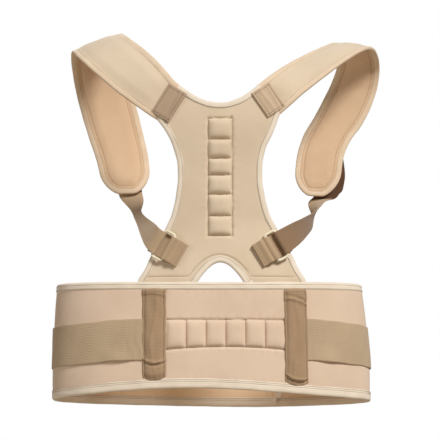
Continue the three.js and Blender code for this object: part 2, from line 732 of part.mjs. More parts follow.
// Edge curves of a strap, which start on the seam
function strapEdges(side, rows) {
  const { ends, across, away } = strapSeam(side);
  const curves = [["outer", ends[0], -cut], ["inner", ends[1], cut]].map(([key, end, step]) => {
    const start = end.clone().addScaledVector(across, step).addScaledVector(away, gap);
    const lead = start.clone().addScaledVector(away, patchLength * 0.6);
    const places = rows.map((row) => strapPlace(row[`${key}X`], row[`${key}Y`], row[`${key}Z`]));
    return new THREE.CatmullRomCurve3([start, lead, ...places], false, "centripetal");
  });
  return { outer: curves[0], inner: curves[1] };
}

// Shares of the way along a strap: even down to the round end, and closer together round it
const strapStations = [
  ...Array.from({ length: 18 }, (_, i) => (0.93 * i) / 17), 0.955, 0.972, 0.985, 0.994, 1];
const strapSteps = strapStations.length - 1;
const strapShares = [0, 0.18, 0.5, 0.82, 1]; // across the pad, from its outer to its inner edge
const strapProfile = [0, 0.75, 1, 0.75, 0]; // how full the pad is at each

function strapSections(side, rows) {
  const { outer, inner } = strapEdges(side, rows);
  const sections = strapStations.map((t) => ({ a: outer.getPoint(t), b: inner.getPoint(t) }));
  const middles = sections.map(({ a, b }) => a.clone().lerp(b, 0.5));
  const lengths = [0];
  for (let i = 1; i <= strapSteps; i += 1) {
    lengths.push(lengths[i - 1] + middles[i].distanceTo(middles[i - 1]));
  }
  return sections.map(({ a, b }, i) => {
    const left = lengths[strapSteps] - lengths[i];
    const width = a.distanceTo(b);
    const round = Math.max(0, 1 - left / strapEndLength);
    const full = Math.sqrt(1 - (0.93 * round) ** 2);
    const inset = cut / width;
    return { a, b, inset, full };
  });
}

function strapGrid(side, rows) {
  return strapSections(side, rows).map(({ a, b, inset, full }) => {
    const shares = side < 0 ? [...strapShares].reverse() : strapShares;
    return shares.map((share) => {
      const across = 0.5 + (mix(inset, 1 - inset, share) - 0.5) * full;
      return a.clone().lerp(b, across);
    });
  });
}

function bindRound(grid) {
  const normals = gridNormals(grid);
  const last = strapShares.length - 1;
  const row = (i, j, inside) => ({
    point: grid[i][j],
    normal: normals[i][j],
    out: vec().subVectors(grid[i][j], grid[i][inside]),
  });
  const down = grid.map((_, i) => row(i, 0, 1));
  const up = grid.map((_, i) => row(i, last, last - 1)).reverse();
  return [...down, ...up];
}

// Pieces sewn on at each side: strap, patch over its seam, webbing, slider and anchor tab
const strapGrids = {};
for (const [side, name] of [[-1, "left"], [1, "right"]]) {
  const grid = strapGrid(side, strapRows[name]);
  strapGrids[name] = grid;
  const full = (i, j) => {
    const pad = mix(strapEdgeThickness, strapThickness, strapProfile[j]);
    return mix(panelThickness, pad, smoothstep((i - 1) / 3)) / 2;
  };
  addSheet(`shoulder_strap_${name}`, grid, full, full, colours.fabric, 0.9);
  addBinding(`strap_binding_${name}`, bindRound(grid), bindingWidth, bindingThickness,
    colours.binding, [0.4 * bindingWidth, 0.4 * bindingWidth]);

  const { ends, away, normal } = strapSeam(side);
  const lift = panelHalf + 2 * gap + patchThickness / 2;
  const patchGrid = [-0.5, 0, 0.5].map((step) => [0, 0.5, 1].map((share) => {
    const short = patchInset / ends[0].distanceTo(ends[1]);
    const across = mix(short, 1 - short, side < 0 ? 1 - share : share);
    return ends[0].clone().lerp(ends[1], across).addScaledVector(away, step * patchLength)
      .addScaledVector(normal, lift);
  }));
  addSheet(`shoulder_patch_${name}`, patchGrid, () => patchThickness / 2, () => patchThickness / 2,
    colours.patch, 0.85);
}

// A slider's place: its middle above the panel, along its straps towards the panel's middle,
// across along its bars, and up away from the panel
const layerLow = bindingThickness / 2 + 2 * gap + webbingThickness / 2;
const wrapRadius = sliderWire / 2 + gap + webbingThickness / 2;
const barLevel = layerLow + wrapRadius;
const layerHigh = barLevel + wrapRadius;

function sliderSeat(side) {
  const tilt = THREE.MathUtils.degToRad(sliderTilt);
  const out = side * sliderOut * panelHalfWidth;
  const origin = panelPoint(out, sliderHeight);
  const up = panelNormal(out, sliderHeight);
  const across = vec(-side * Math.cos(tilt), 0, Math.sin(tilt));
  across.addScaledVector(up, -across.dot(up)).normalize();
  const along = vec().crossVectors(up, across);
  if (along.x * side > 0) along.negate();
  return (e, w, h) => origin.clone().addScaledVector(along, e).addScaledVector(across, w)
    .addScaledVector(up, h);
}

// Stations of a strip that turns round a bar, from its lower layer to its upper one; way is 1
// where the turn bulges towards the panel's middle
const turnSteps = 6;

function barTurn(bar, way) {
  return Array.from({ length: turnSteps + 1 }, (_, i) => {
    const angle = Math.PI * (i / turnSteps - 0.5);
    return { e: bar + way * wrapRadius * Math.cos(angle), h: barLevel + wrapRadius * Math.sin(angle) };
  });
}

function seatedStrip(seat, stations) {
  return stations.map(({ e, h }) => [-0.5, 0, 0.5].map((share) => seat(e, share * webbingWidth, h)));
}

// Webbing between the pad's round end and the slider: its lower and its upper edge, in the
// shares of the shoulder straps' rows. It turns edge on half way
const webbingRows = {
  left: [
    { lowX: -0.63, lowY: 0.47, lowZ: 0.345, highX: -0.495, highY: 0.36, highZ: 0.345 },
    { lowX: -0.585, lowY: 0.36, lowZ: 0.314, highX: -0.51, highY: 0.1, highZ: 0.302 },
    { lowX: -0.555, lowY: 0.1, lowZ: 0.274, highX: -0.5, highY: -0.19, highZ: 0.268 },
    { lowX: -0.525, lowY: -0.25, lowZ: 0.222, highX: -0.45, highY: -0.47, highZ: 0.24 },
    { lowX: -0.49, lowY: -0.58, lowZ: 0.163, highX: -0.385, highY: -0.74, highZ: 0.206 },
  ],
  right: [
    { lowX: 0.57, lowY: 0.43, lowZ: 0.345, highX: 0.69, highY: 0.3, highZ: 0.351 },
    { lowX: 0.595, lowY: 0.32, lowZ: 0.289, highX: 0.645, highY: 0.04, highZ: 0.308 },
    { lowX: 0.615, lowY: 0.08, lowZ: 0.243, highX: 0.605, highY: -0.2, highZ: 0.277 },
    { lowX: 0.585, lowY: -0.22, lowZ: 0.203, highX: 0.54, highY: -0.45, highZ: 0.249 },
    { lowX: 0.535, lowY: -0.5, lowZ: 0.163, highX: 0.47, highY: -0.66, highZ: 0.225 },
  ],
};
// The webbing is sewn on the pad's outer face, this far to +X of the pad's middle
const webbingShift = { left: 4, right: 11 };
const webbingSteps = 18;
const sewnRows = 6; // of the strap's rows under the webbing's sewn end
const approach = 11; // from the bar to where the webbing lies level with the slider

// Middle of the webbing at a strap's row, on the pad's outer face, and the way across it
function webbingOnStrap(grid, normals, row, beyond, shift) {
  const middle = Math.floor(strapShares.length / 2);
  const point = grid[row][middle].clone();
  const lift = strapThickness / 2 + gap + webbingThickness / 2;
  const across = vec().subVectors(grid[row][0], grid[row][strapShares.length - 1]).normalize();
  const along = vec().subVectors(point, grid[row - 1][middle]).normalize();
  if (across.x < 0) across.negate();
  point.addScaledVector(normals[row][middle], lift).addScaledVector(along, beyond);
  return { point: point.addScaledVector(across, shift), across };
}

for (const [side, name] of [[-1, "left"], [1, "right"]]) {
  const seat = sliderSeat(side);
  const grid = strapGrids[name];
  const normals = gridNormals(grid);
  const onStrap = Array.from({ length: sewnRows }, (_, i) => strapSteps - sewnRows + 1 + i)
    .map((row) => webbingOnStrap(grid, normals, row, 0, webbingShift[name]));
  onStrap.push(webbingOnStrap(grid, normals, strapSteps, bindingWidth + 2, webbingShift[name]));
  const edge = (sign, key) => [
    ...onStrap.slice(-2).map(({ point, across }) => (
      point.clone().addScaledVector(across, (sign * webbingWidth) / 2))),
    ...webbingRows[name].map((row) => strapPlace(row[`${key}X`], row[`${key}Y`], row[`${key}Z`])),
    seat(-sliderSpacing / 2 - approach, (sign * webbingWidth) / 2, layerHigh),
    seat(-sliderSpacing / 2 - 1, (sign * webbingWidth) / 2, layerHigh),
  ];
  const low = new THREE.CatmullRomCurve3(edge(-1, "low"), false, "centripetal");
  const high = new THREE.CatmullRomCurve3(edge(1, "high"), false, "centripetal");
  const free = Array.from({ length: webbingSteps + 1 }, (_, i) => {
    const a = low.getPoint(i / webbingSteps);
    const b = high.getPoint(i / webbingSteps);
    const middle = a.clone().lerp(b, 0.5);
    const across = b.clone().sub(a).normalize();
    return [-0.5, 0, 0.5].map((share) => (
      middle.clone().addScaledVector(across, share * webbingWidth)));
  });
  const sewn = onStrap.slice(0, -2).map(({ point, across }) => [-0.5, 0, 0.5].map((share) => (
    point.clone().addScaledVector(across, share * webbingWidth))));
  const turn = barTurn(-sliderSpacing / 2, 1).reverse();
  const tail = { e: -sliderSpacing / 2 - webbingTail, h: layerLow };
  const webbing = [...sewn, ...free, ...seatedStrip(seat, [...turn, tail])];
  const half = () => webbingThickness / 2;
  addSheet(`webbing_${name}`, webbing, half, half, colours.webbing, 0.85);

  const far = sliderSpacing / 2 + tabLength;
  const tab = [
    { e: far, h: layerLow },
    ...barTurn(sliderSpacing / 2, -1),
    { e: mix(sliderSpacing / 2, far, 0.45), h: mix(layerHigh, layerLow, 0.12) },
    { e: mix(sliderSpacing / 2, far, 0.8), h: layerLow + webbingThickness + 2 * gap },
    { e: far, h: layerLow + webbingThickness + gap },
  ];
  addSheet(`anchor_tab_${name}`, seatedStrip(seat, tab), half, half, colours.webbing, 0.85);

  // Slider: one loop of moulded wire, two bars and two rounded ends
  const reach = webbingWidth / 2 + slack + sliderWire / 2;
  const corner = sliderWire;
  const loop = [];
  for (const [signE, signW, from] of [[1, 1, 0], [-1, 1, 90], [-1, -1, 180], [1, -1, 270]]) {
    for (const step of [0, 45, 90]) {
      const angle = THREE.MathUtils.degToRad(from + step);
      const e = signE * (sliderSpacing / 2 - corner) + corner * Math.cos(angle);
      const w = signW * (reach - corner) + corner * Math.sin(angle);
      loop.push({ e, w, angle });
    }
  }
  const rings = loop.map(({ e, w, angle }) => Array.from({ length: beadSides }, (_, k) => {
    const turnAngle = (2 * Math.PI * k) / beadSides;
    const out = (sliderWire / 2) * Math.cos(turnAngle);
    return seat(e + out * Math.cos(angle), w + out * Math.sin(angle),
      barLevel + (sliderWire / 2) * Math.sin(turnAngle));
  }));
  addSweep(`slider_${name}`, rings, true, colours.plastic, 0.4);
}

export default group;
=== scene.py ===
import math

import bmesh
import bpy
import numpy as np
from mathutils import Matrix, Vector


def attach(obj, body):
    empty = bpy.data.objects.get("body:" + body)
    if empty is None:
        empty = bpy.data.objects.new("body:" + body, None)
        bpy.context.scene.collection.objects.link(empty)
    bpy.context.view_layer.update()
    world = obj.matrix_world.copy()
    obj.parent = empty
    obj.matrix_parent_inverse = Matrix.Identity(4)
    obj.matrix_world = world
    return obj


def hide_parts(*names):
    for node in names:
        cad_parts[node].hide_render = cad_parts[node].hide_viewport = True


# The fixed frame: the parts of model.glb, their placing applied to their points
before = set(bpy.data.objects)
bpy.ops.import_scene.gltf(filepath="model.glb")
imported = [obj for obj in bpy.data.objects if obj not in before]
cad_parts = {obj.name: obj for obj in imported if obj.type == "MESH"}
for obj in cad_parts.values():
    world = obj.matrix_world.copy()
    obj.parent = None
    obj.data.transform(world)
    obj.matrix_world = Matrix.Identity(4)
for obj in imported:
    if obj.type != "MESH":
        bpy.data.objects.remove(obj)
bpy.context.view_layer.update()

MM = 0.001
ROOT = "root"
SIDES = (("left", -1), ("right", 1))

# Sizes in millimetres, the same as the solids'
GAP = 0.3
BELT_WIDTH = 404.0
BELT_DEPTH = 176.0
BELT_SQUARENESS = 2.3
BELT_TOP = 74.0
BELT_BOTTOM = -76.0
BELT_THICKNESS = 4.0
BELT_TAPER = 0.04
BELT_LEAN = 3.0
BELT_DEPTH_TAPER = 0.03
TOP_DIP = 5.0
BOTTOM_RISE = 12.0
FRONT_DROP = 3.0
TOP_BINDING = 9.0
BOTTOM_BINDING = 11.0
BELT_BINDING_THICKNESS = 5.0
CLOSURE_OVERLAP = 60.0
CLOSURE_SHIFT = 55.0
CLOSURE_RAMP = 46.0
BACK_SHIFT = 18.0
LUMBAR_CELLS = 6
LUMBAR_HEIGHT = 36.0
LUMBAR_MIDDLE = 3.5
STAY_OFFSET = 88.7
STAY_WIDTH = 29.6
ELASTIC_WIDTH = 52.0
ELASTIC_THICKNESS = 1.6
ELASTIC_MIDDLE = -3.0
ELASTIC_FALL = 6.0
ELASTIC_END = 0.42
PANEL_SHIFT = 11.0
PANEL_RISE = 221.0
PANEL_HALF_WIDTH = 103.0
PANEL_THICKNESS = 4.0
ARCH_HALF_WIDTH = 36.0
ARCH_HEIGHT = 26.0
SPINE_SEAMS = (274.8, 248.6, 224.7, 203.7, 179.6, 152.3, 127.4)
SPINE_WIDTH = 30.0
BINDING = 6.0
BINDING_THICKNESS = 5.6
SHOULDER_REACH = 200.0
SHOULDER_RISE = 325.0
STRAP_DEPTH = 100.0
STRAP_THICKNESS = 6.0
STRAP_EDGE_THICKNESS = 3.6
STRAP_END_LENGTH = 26.0
PATCH_LENGTH = 26.0
WEBBING_WIDTH = 31.0
WEBBING_THICKNESS = 1.4
SLIDER_WIRE = 3.4
SLIDER_SPACING = 14.6
SLIDER_SLACK = 1.1
TAB_LENGTH = 19.0
WEBBING_TAIL = 8.0
SLIDER_HEIGHT = 114.5
SLIDER_OUT = 0.675
SLIDER_TILT = 60.0
CUT = BINDING + GAP


def mix(a, b, t):
    return a + (b - a) * t


# Further in mm than any seam is from a point near it
FAR = 99.0


def smoothstep(t):
    s = np.clip(t, 0, 1)
    return s * s * (3 - 2 * s)


def unit(v):
    return v / np.maximum(np.linalg.norm(v, axis=-1, keepdims=True), 1e-9)


def curve_through(rows, t):
    """Value at t of a table of (at, value), joined by the smooth steps of a monotone curve."""
    last = len(rows) - 1
    slopes = []
    for i, (at, value) in enumerate(rows):
        if 0 < i < last:
            before = (value - rows[i - 1][1]) / (at - rows[i - 1][0])
            after = (rows[i + 1][1] - value) / (rows[i + 1][0] - at)
            slopes.append(0 if before * after <= 0 else 2 * before * after / (before + after))
        else:
            j = max(0, min(i, last - 1))
            slopes.append((rows[j + 1][1] - rows[j][1]) / (rows[j + 1][0] - rows[j][0]))
    i = 0
    while i < last - 1 and t > rows[i + 1][0]:
        i += 1
    span = rows[i + 1][0] - rows[i][0]
    s = min(1, max(0, (t - rows[i][0]) / span))
    rise = rows[i + 1][1] - rows[i][1]
    bend = s * (1 - s)
    return (rows[i][1] + rise * s * s * (3 - 2 * s)
            + span * bend * ((1 - s) * slopes[i] - s * slopes[i + 1]))


class Rail:
    """Centripetal Catmull-Rom curve through points; place(t) with t from 0 to 1."""

    def __init__(self, points):
        self.points = [np.asarray(p, float) for p in points]

    def place(self, t):
        pts = self.points
        count = len(pts)
        p = (count - 1) * t
        i = min(int(math.floor(p)), count - 2)
        w = p - i
        p1, p2 = pts[i], pts[i + 1]
        p0 = pts[i - 1] if i > 0 else 2 * pts[0] - pts[1]
        p3 = pts[i + 2] if i + 2 < count else 2 * pts[-1] - pts[-2]
        d0, d1, d2 = [max(np.dot(b - a, b - a) ** 0.25, 1e-4)
                      for a, b in ((p0, p1), (p1, p2), (p2, p3))]
        m1 = ((p1 - p0) / d0 - (p2 - p0) / (d0 + d1) + (p2 - p1) / d1) * d1
        m2 = ((p2 - p1) / d1 - (p3 - p1) / (d1 + d2) + (p3 - p2) / d2) * d1
        return (p1 + m1 * w + (-3 * p1 + 3 * p2 - 2 * m1 - m2) * w ** 2
                + (2 * p1 - 2 * p2 + m1 + m2) * w ** 3)


def grid_normals(grid):
    along = np.gradient(grid, axis=0)
    across = np.gradient(grid, axis=1)
    return unit(np.cross(along, across))


def squared_off(wave, power):
    """Sine or cosine of a round, with fuller corners where the power is below 1."""
    return np.sign(wave) * np.abs(wave) ** power


def path_lengths(points):
    steps = np.linalg.norm(np.diff(points, axis=0), axis=1)
    return np.concatenate([[0], np.cumsum(steps)])


def resampled(points, spacing, *more):
    """Points, and other rows that go with them, at even steps along the path."""
    lengths = path_lengths(points)
    count = max(2, int(round(lengths[-1] / spacing)) + 1)
    stops = np.linspace(0, lengths[-1], count)
    out = []
    for rows in (points, *more):
        rows = np.asarray(rows, float)
        columns = [np.interp(stops, lengths, column) for column in rows.T]
        out.append(np.stack(columns, 1))
    return out


def evened(line):
    """The inner points of a line, each drawn a little towards its two neighbours."""
    return (line[:-2] + 2 * line[1:-1] + line[2:]) / 4


RIPPLE_WAVES = 5
RIPPLE_PHASE = 6.28
RIPPLE_SPREAD = (0.6, 1.5)


def ripple(a, b, seed):
    """Soft uneven waves over two lengths in mm, from -1 to 1 at most."""
    rng = np.random.default_rng(seed)
    total = 0
    for _ in range(RIPPLE_WAVES):
        turn = rng.uniform(0, math.pi)
        phase = rng.uniform(0, RIPPLE_PHASE)
        size = rng.uniform(*RIPPLE_SPREAD)
        total = total + np.sin((np.cos(turn) * a + np.sin(turn) * b) * size + phase)
    return total / RIPPLE_WAVES


def folds_in(cloth, a, b, turn=0):
    """Folds of a cloth: rows of height, wave length along a and along b, and seed."""
    return sum(height * ripple(a / long, b / wide, seed + turn)
               for height, long, wide, seed in cloth)


def gathers(along, height, pitch, sway, slow):
    """Small gathers beside a seam, which come closer and further apart along it."""
    return height * np.sin(along / pitch + sway * np.sin(along / slow))


# Meshes

def add_mesh(name, points, faces, threads, finishes, face_finish=None, soft_angle=50):
    """Object from points in mm and faces; threads are the cloth's own lengths in mm."""
    mesh = bpy.data.meshes.new(name)
    mesh.from_pydata([tuple(p) for p in np.asarray(points, float) * MM], [], faces)
    layer = mesh.uv_layers.new(name="threads")
    corner_points = np.empty(len(mesh.loops), dtype=np.int32)
    mesh.loops.foreach_get("vertex_index", corner_points)
    uv = np.asarray(threads, float)[corner_points] * MM
    layer.data.foreach_set("uv", uv.astype(np.float32).ravel())
    for finish in finishes:
        mesh.materials.append(finish)
    if face_finish is not None:
        mesh.polygons.foreach_set("material_index", np.asarray(face_finish, dtype=np.int32))
    mesh.shade_smooth()
    mesh.set_sharp_from_angle(angle=math.radians(soft_angle))
    mesh.update()
    piece = bpy.data.objects.new(name, mesh)
    bpy.context.scene.collection.objects.link(piece)
    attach(piece, ROOT)
    return piece


def sheet_faces(rows, columns):
    """Quads of the upper face, the lower face and the four rims of a sheet on a grid."""
    index = np.arange(rows * columns).reshape(rows, columns)
    low = index + rows * columns
    a, b, c, d = index[:-1, :-1], index[1:, :-1], index[1:, 1:], index[:-1, 1:]
    upper = np.stack([a, b, c, d], -1).reshape(-1, 4)
    a, b, c, d = low[:-1, :-1], low[1:, :-1], low[1:, 1:], low[:-1, 1:]
    under = np.stack([d, c, b, a], -1).reshape(-1, 4)
    rims = []
    for top, bottom in ((index[::-1, 0], low[::-1, 0]), (index[:, -1], low[:, -1]),
                        (index[0, :], low[0, :]), (index[-1, ::-1], low[-1, ::-1])):
        rims.append(np.stack([top[:-1], top[1:], bottom[1:], bottom[:-1]], -1))
    rims = np.concatenate(rims)
    return upper, under, rims


def add_sheet(name, grid, rise, sink, finishes, soft_angle=50):
    """Sheet with two faces off a grid; the second finish, if any, is the lower face's."""
    rows, columns = grid.shape[:2]
    normals = grid_normals(grid)
    rise = np.broadcast_to(rise, (rows, columns))
    sink = np.broadcast_to(sink, (rows, columns))
    upper_points = grid + normals * rise[..., None]
    under_points = grid - normals * sink[..., None]
    points = np.concatenate([upper_points.reshape(-1, 3), under_points.reshape(-1, 3)])
    along = np.concatenate(
        [np.zeros((1, columns)), np.cumsum(np.linalg.norm(np.diff(grid, axis=0), axis=2), 0)])
    across = np.concatenate(
        [np.zeros((rows, 1)), np.cumsum(np.linalg.norm(np.diff(grid, axis=1), axis=2), 1)], 1)
    across = across - across[:, -1:] / 2
    along = np.broadcast_to(along.mean(axis=1, keepdims=True), (rows, columns))
    threads = np.stack([along, across], -1).reshape(-1, 2)
    upper, under, rims = sheet_faces(rows, columns)
    faces = np.concatenate([upper, under, rims]).tolist()
    which = [0] * len(upper) + [len(finishes) - 1] * len(under) + [0] * len(rims)
    return add_mesh(name, points, faces, np.concatenate([threads, threads]), finishes,
                    which, soft_angle)


def add_sweep(name, rings, finish, closed=False, soft_angle=50):
    """Solid swept through rings of points."""
    count, sides = rings.shape[:2]
    index = np.arange(count * sides).reshape(count, sides)
    after = np.roll(index, -1, axis=0) if closed else index[1:]
    before = index if closed else index[:-1]
    faces = np.stack([before, np.roll(before, -1, 1), np.roll(after, -1, 1), after], -1)
    faces = faces.reshape(-1, 4).tolist()
    if not closed:
        faces.append(index[0, ::-1].tolist())
        faces.append(index[-1].tolist())
    lengths = path_lengths(rings.mean(axis=1))
    turn = np.linspace(0, 1, sides, endpoint=False)
    round_length = np.linalg.norm(rings[0] - np.roll(rings[0], 1, 0), axis=1).sum()
    threads = np.stack(np.broadcast_arrays(lengths[:, None], turn * round_length), -1)
    piece = add_mesh(name, rings.reshape(-1, 3), faces, threads.reshape(-1, 2), [finish],
                     None, soft_angle)
    outwards(piece)
    return piece


def outwards(piece):
    """Faces of a closed mesh turned outwards."""
    work = bmesh.new()
    work.from_mesh(piece.data)
    bmesh.ops.recalc_face_normals(work, faces=work.faces)
    work.to_mesh(piece.data)
    work.free()


def tape_frames(points, normals, first_out):
    """Ways out of the piece along its edge, square to the edge and to the piece's face."""
    tangents = unit(np.gradient(points, axis=0))
    outs = unit(np.cross(tangents, normals))
    if np.dot(outs[0], first_out) < 0:
        outs = -outs
    return outs


TAPE_SPACING = 2.4
TAPE_SIDES = 16
TAPE_SQUARENESS = 0.62
TAPE_SWELL = 0.05
TAPE_SWELL_LENGTH = 6.3
# How a tape's edge wanders: height, wave length and start of each wave
TAPE_WOBBLES = ((0.084, 9.0, 0), (0.06, 4.1, 1))


def fold_tape(name, points, normals, first_out, width, thickness, lip=2.2, trims=(0.0, 0.0),
              finish="binding_tape"):
    """Tape folded round an edge: its lips lie on both faces, and it stands out by its width."""
    if min(trims) < 0:
        first, last = unit(points[0] - points[1]), unit(points[-1] - points[-2])
        points = np.concatenate([[points[0] - first * min(trims[0], 0)], points,
                                 [points[-1] - last * min(trims[1], 0)]])
        normals = np.concatenate([normals[:1], normals, normals[-1:]])
        trims = (0.0, 0.0)
    points, normals = resampled(points, TAPE_SPACING, normals)
    lengths = path_lengths(points)
    inside = (lengths >= trims[0]) & (lengths <= lengths[-1] - trims[1])
    points, normals = points[inside], unit(normals[inside])
    outs = tape_frames(points, normals, first_out)
    angle = 2 * math.pi * (np.arange(TAPE_SIDES) + 0.5) / TAPE_SIDES
    half = (GAP + width + lip) / 2
    across = half - lip + half * squared_off(np.cos(angle), TAPE_SQUARENESS)
    up = thickness / 2 * squared_off(np.sin(angle), TAPE_SQUARENESS)
    lengths = path_lengths(points)
    wobble = sum(height * np.sin(lengths / long + begin) for height, long, begin in TAPE_WOBBLES)
    swell = 1 + TAPE_SWELL * np.sin(lengths / TAPE_SWELL_LENGTH)
    rings = (points[:, None] + outs[:, None] * (across[None, :] + wobble[:, None])[..., None]
             + normals[:, None] * (up * swell[:, None])[..., None])
    piece = add_sweep(name, rings, FINISH[finish])
    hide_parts(name)
    return points, normals, outs


STITCH_SIDES = 5
# Rings along one stitch: place as a share of its length, and how full it is there
STITCH_RINGS = ((-0.5, 0.25), (-0.3, 0.95), (0.3, 0.95), (0.5, 0.25))
STITCH_SINK = 0.12
THREAD_LIFT = 0.12


def add_stitches(name, lines, pitch=3.0, radius=0.36, share=0.66, finish="thread"):
    """Rows of thread stitches; each line is points and normals, and lies on the cloth."""
    angle = 2 * math.pi * np.arange(STITCH_SIDES) / STITCH_SIDES
    points, faces, threads = [], [], []
    for line, normals in lines:
        line, normals = resampled(np.asarray(line), pitch, np.asarray(normals))
        middles = (line[1:] + line[:-1]) / 2
        ups = unit((normals[1:] + normals[:-1]) / 2)
        ways = unit(np.diff(line, axis=0))
        sides = unit(np.cross(ways, ups))
        for middle, up, way, side in zip(middles, ups, ways, sides):
            start = len(points)
            for at, full in STITCH_RINGS:
                centre = middle + way * at * pitch * share - up * STITCH_SINK * (1 - full)
                for a in angle:
                    points.append(centre + radius * full * (math.cos(a) * side + math.sin(a) * up))
                    threads.append((at, a))
            for ring in range(len(STITCH_RINGS) - 1):
                base = start + ring * STITCH_SIDES
                for k in range(STITCH_SIDES):
                    turn = (k + 1) % STITCH_SIDES
                    faces.append((base + k, base + STITCH_SIDES + k, base + STITCH_SIDES + turn,
                                  base + turn))
            faces.append(tuple(start + k for k in range(STITCH_SIDES)))
            end = start + (len(STITCH_RINGS) - 1) * STITCH_SIDES
            faces.append(tuple(end + k for k in reversed(range(STITCH_SIDES))))
    piece = add_mesh(name, np.array(points), faces, threads, [FINISH[finish]], None, 60)
    outwards(piece)
    return piece


# Materials

def linear(red, green, blue):
    """Linear colour from screen values of 0 to 255."""
    out = []
    for value in (red, green, blue):
        s = value / 255
        out.append(s / 12.92 if s <= 0.04045 else ((s + 0.055) / 1.055) ** 2.4)
    return (*out, 1.0)


def new_group(name, inputs, outputs):
    group = bpy.data.node_groups.new(name, "ShaderNodeTree")
    for label, kind, value in inputs:
        socket = group.interface.new_socket(label, in_out="INPUT", socket_type=kind)
        if value is not None:
            socket.default_value = value
    for label, kind in outputs:
        group.interface.new_socket(label, in_out="OUTPUT", socket_type=kind)
    enter = group.nodes.new("NodeGroupInput")
    leave = group.nodes.new("NodeGroupOutput")
    return group, enter, leave


def math_node(tree, kind, a, b=None, c=None):
    node = tree.nodes.new("ShaderNodeMath")
    node.operation = kind
    for socket, value in zip(node.inputs, (a, b, c)):
        if value is None:
            continue
        if isinstance(value, (int, float)):
            socket.default_value = value
        else:
            tree.links.new(value, socket)
    return node.outputs[0]


def sums(tree):
    """Short names for the sums that a node tree needs most."""
    kinds = ("MULTIPLY", "ADD", "SUBTRACT", "SINE", "MULTIPLY_ADD")
    return [lambda *values, kind=kind: math_node(tree, kind, *values) for kind in kinds]


def noise_node(tree, vector, scale, detail=3.0, roughness=0.55):
    node = tree.nodes.new("ShaderNodeTexNoise")
    tree.links.new(vector, node.inputs["Vector"])
    node.inputs["Detail"].default_value = detail
    node.inputs["Roughness"].default_value = roughness
    if isinstance(scale, (int, float)):
        node.inputs["Scale"].default_value = scale
    else:
        tree.links.new(scale, node.inputs["Scale"])
    return node.outputs["Fac"]


VECTOR, FLOAT = "NodeSocketVector", "NodeSocketFloat"
# One full turn of a wave, for threads measured in metres and wave lengths in mm
TURN_MM = 6283.2
LOOP_SWAY = 0.9
FUZZ_SCALE = 1400.0
PICK_SLANT = 3.0
RIB_SHARE = 0.28
PICK_SHARE = 0.22
FRAY_SCALE = 900.0
FRAY_SHARE = 0.3


def make_knit_group():
    """Fine knit of the foam's covering: small loops in rows, and fuzz between them."""
    group, enter, leave = new_group("knit_cover", [
        ("Threads", VECTOR, None), ("Place", VECTOR, None), ("Loop Width mm", FLOAT, 0.9),
        ("Fuzz", FLOAT, 0.4)], [("Shade", FLOAT), ("Height", FLOAT)])
    times, plus, minus, sine, times_plus = sums(group)
    split = group.nodes.new("ShaderNodeSeparateXYZ")
    group.links.new(enter.outputs["Threads"], split.inputs[0])
    turns = math_node(group, "DIVIDE", TURN_MM, enter.outputs["Loop Width mm"])
    along, across = [times(split.outputs[axis], turns) for axis in (0, 1)]
    bent = plus(along, times(sine(across), LOOP_SWAY))
    loops = plus(times(sine(bent), 0.5), times(sine(across), 0.5))
    shade = times_plus(loops, 0.5, 0.5)
    fine = noise_node(group, enter.outputs["Place"], FUZZ_SCALE, 2.0)
    fuzz = times(minus(fine, 0.5), enter.outputs["Fuzz"])
    group.links.new(plus(shade, fuzz), leave.inputs["Height"])
    group.links.new(shade, leave.inputs["Shade"])
    return group


def make_weave_group():
    """Woven webbing: ribs along its length, crossed by slanted picks that change sides."""
    group, enter, leave = new_group("woven_ribs", [
        ("Threads", VECTOR, None), ("Place", VECTOR, None), ("Rib Width mm", FLOAT, 1.6),
        ("Pick Length mm", FLOAT, 1.1), ("Slant", FLOAT, 0.6)],
        [("Shade", FLOAT), ("Height", FLOAT)])
    times, plus, minus, sine, _ = sums(group)
    split = group.nodes.new("ShaderNodeSeparateXYZ")
    group.links.new(enter.outputs["Threads"], split.inputs[0])
    rib_turns = math_node(group, "DIVIDE", TURN_MM, enter.outputs["Rib Width mm"])
    pick_turns = math_node(group, "DIVIDE", TURN_MM, enter.outputs["Pick Length mm"])
    across = times(split.outputs[1], rib_turns)
    side = times(sine(times(across, 0.5)), enter.outputs["Slant"])
    pick = sine(plus(times(split.outputs[0], pick_turns), times(side, PICK_SLANT)))
    rib = math_node(group, "COSINE", across)
    body = plus(plus(times(rib, RIB_SHARE), times(pick, PICK_SHARE)), 0.5)
    fray = noise_node(group, enter.outputs["Place"], FRAY_SCALE, 2.0)
    group.links.new(plus(body, times(minus(fray, 0.5), FRAY_SHARE)), leave.inputs["Height"])
    group.links.new(body, leave.inputs["Shade"])
    return group


LINT_SCALE = 230.0
LINT_SIZE = 0.16
LINT_RARITY = 0.56


def make_wear_group():
    """Uneven dye and a little lint over a piece."""
    group, enter, leave = new_group("dye_and_wear", [
        ("Place", VECTOR, None), ("Patch Size mm", FLOAT, 40.0), ("Lint", FLOAT, 0.3)],
        [("Patches", FLOAT), ("Lint Mask", FLOAT)])
    wide = math_node(group, "DIVIDE", 1000.0, enter.outputs["Patch Size mm"])
    patches = noise_node(group, enter.outputs["Place"], wide, 4.0, 0.6)
    group.links.new(patches, leave.inputs["Patches"])
    specks = group.nodes.new("ShaderNodeTexVoronoi")
    specks.feature = "F1"
    specks.inputs["Scale"].default_value = LINT_SCALE
    group.links.new(enter.outputs["Place"], specks.inputs["Vector"])
    near = math_node(group, "LESS_THAN", specks.outputs["Distance"], LINT_SIZE)
    some = noise_node(group, enter.outputs["Place"], 60.0, 1.0)
    kept = math_node(group, "GREATER_THAN", some, LINT_RARITY)
    times = sums(group)[0]
    group.links.new(times(times(near, kept), enter.outputs["Lint"]), leave.inputs["Lint Mask"])
    return group


KNIT = make_knit_group()
WEAVE = make_weave_group()
WEAR = make_wear_group()


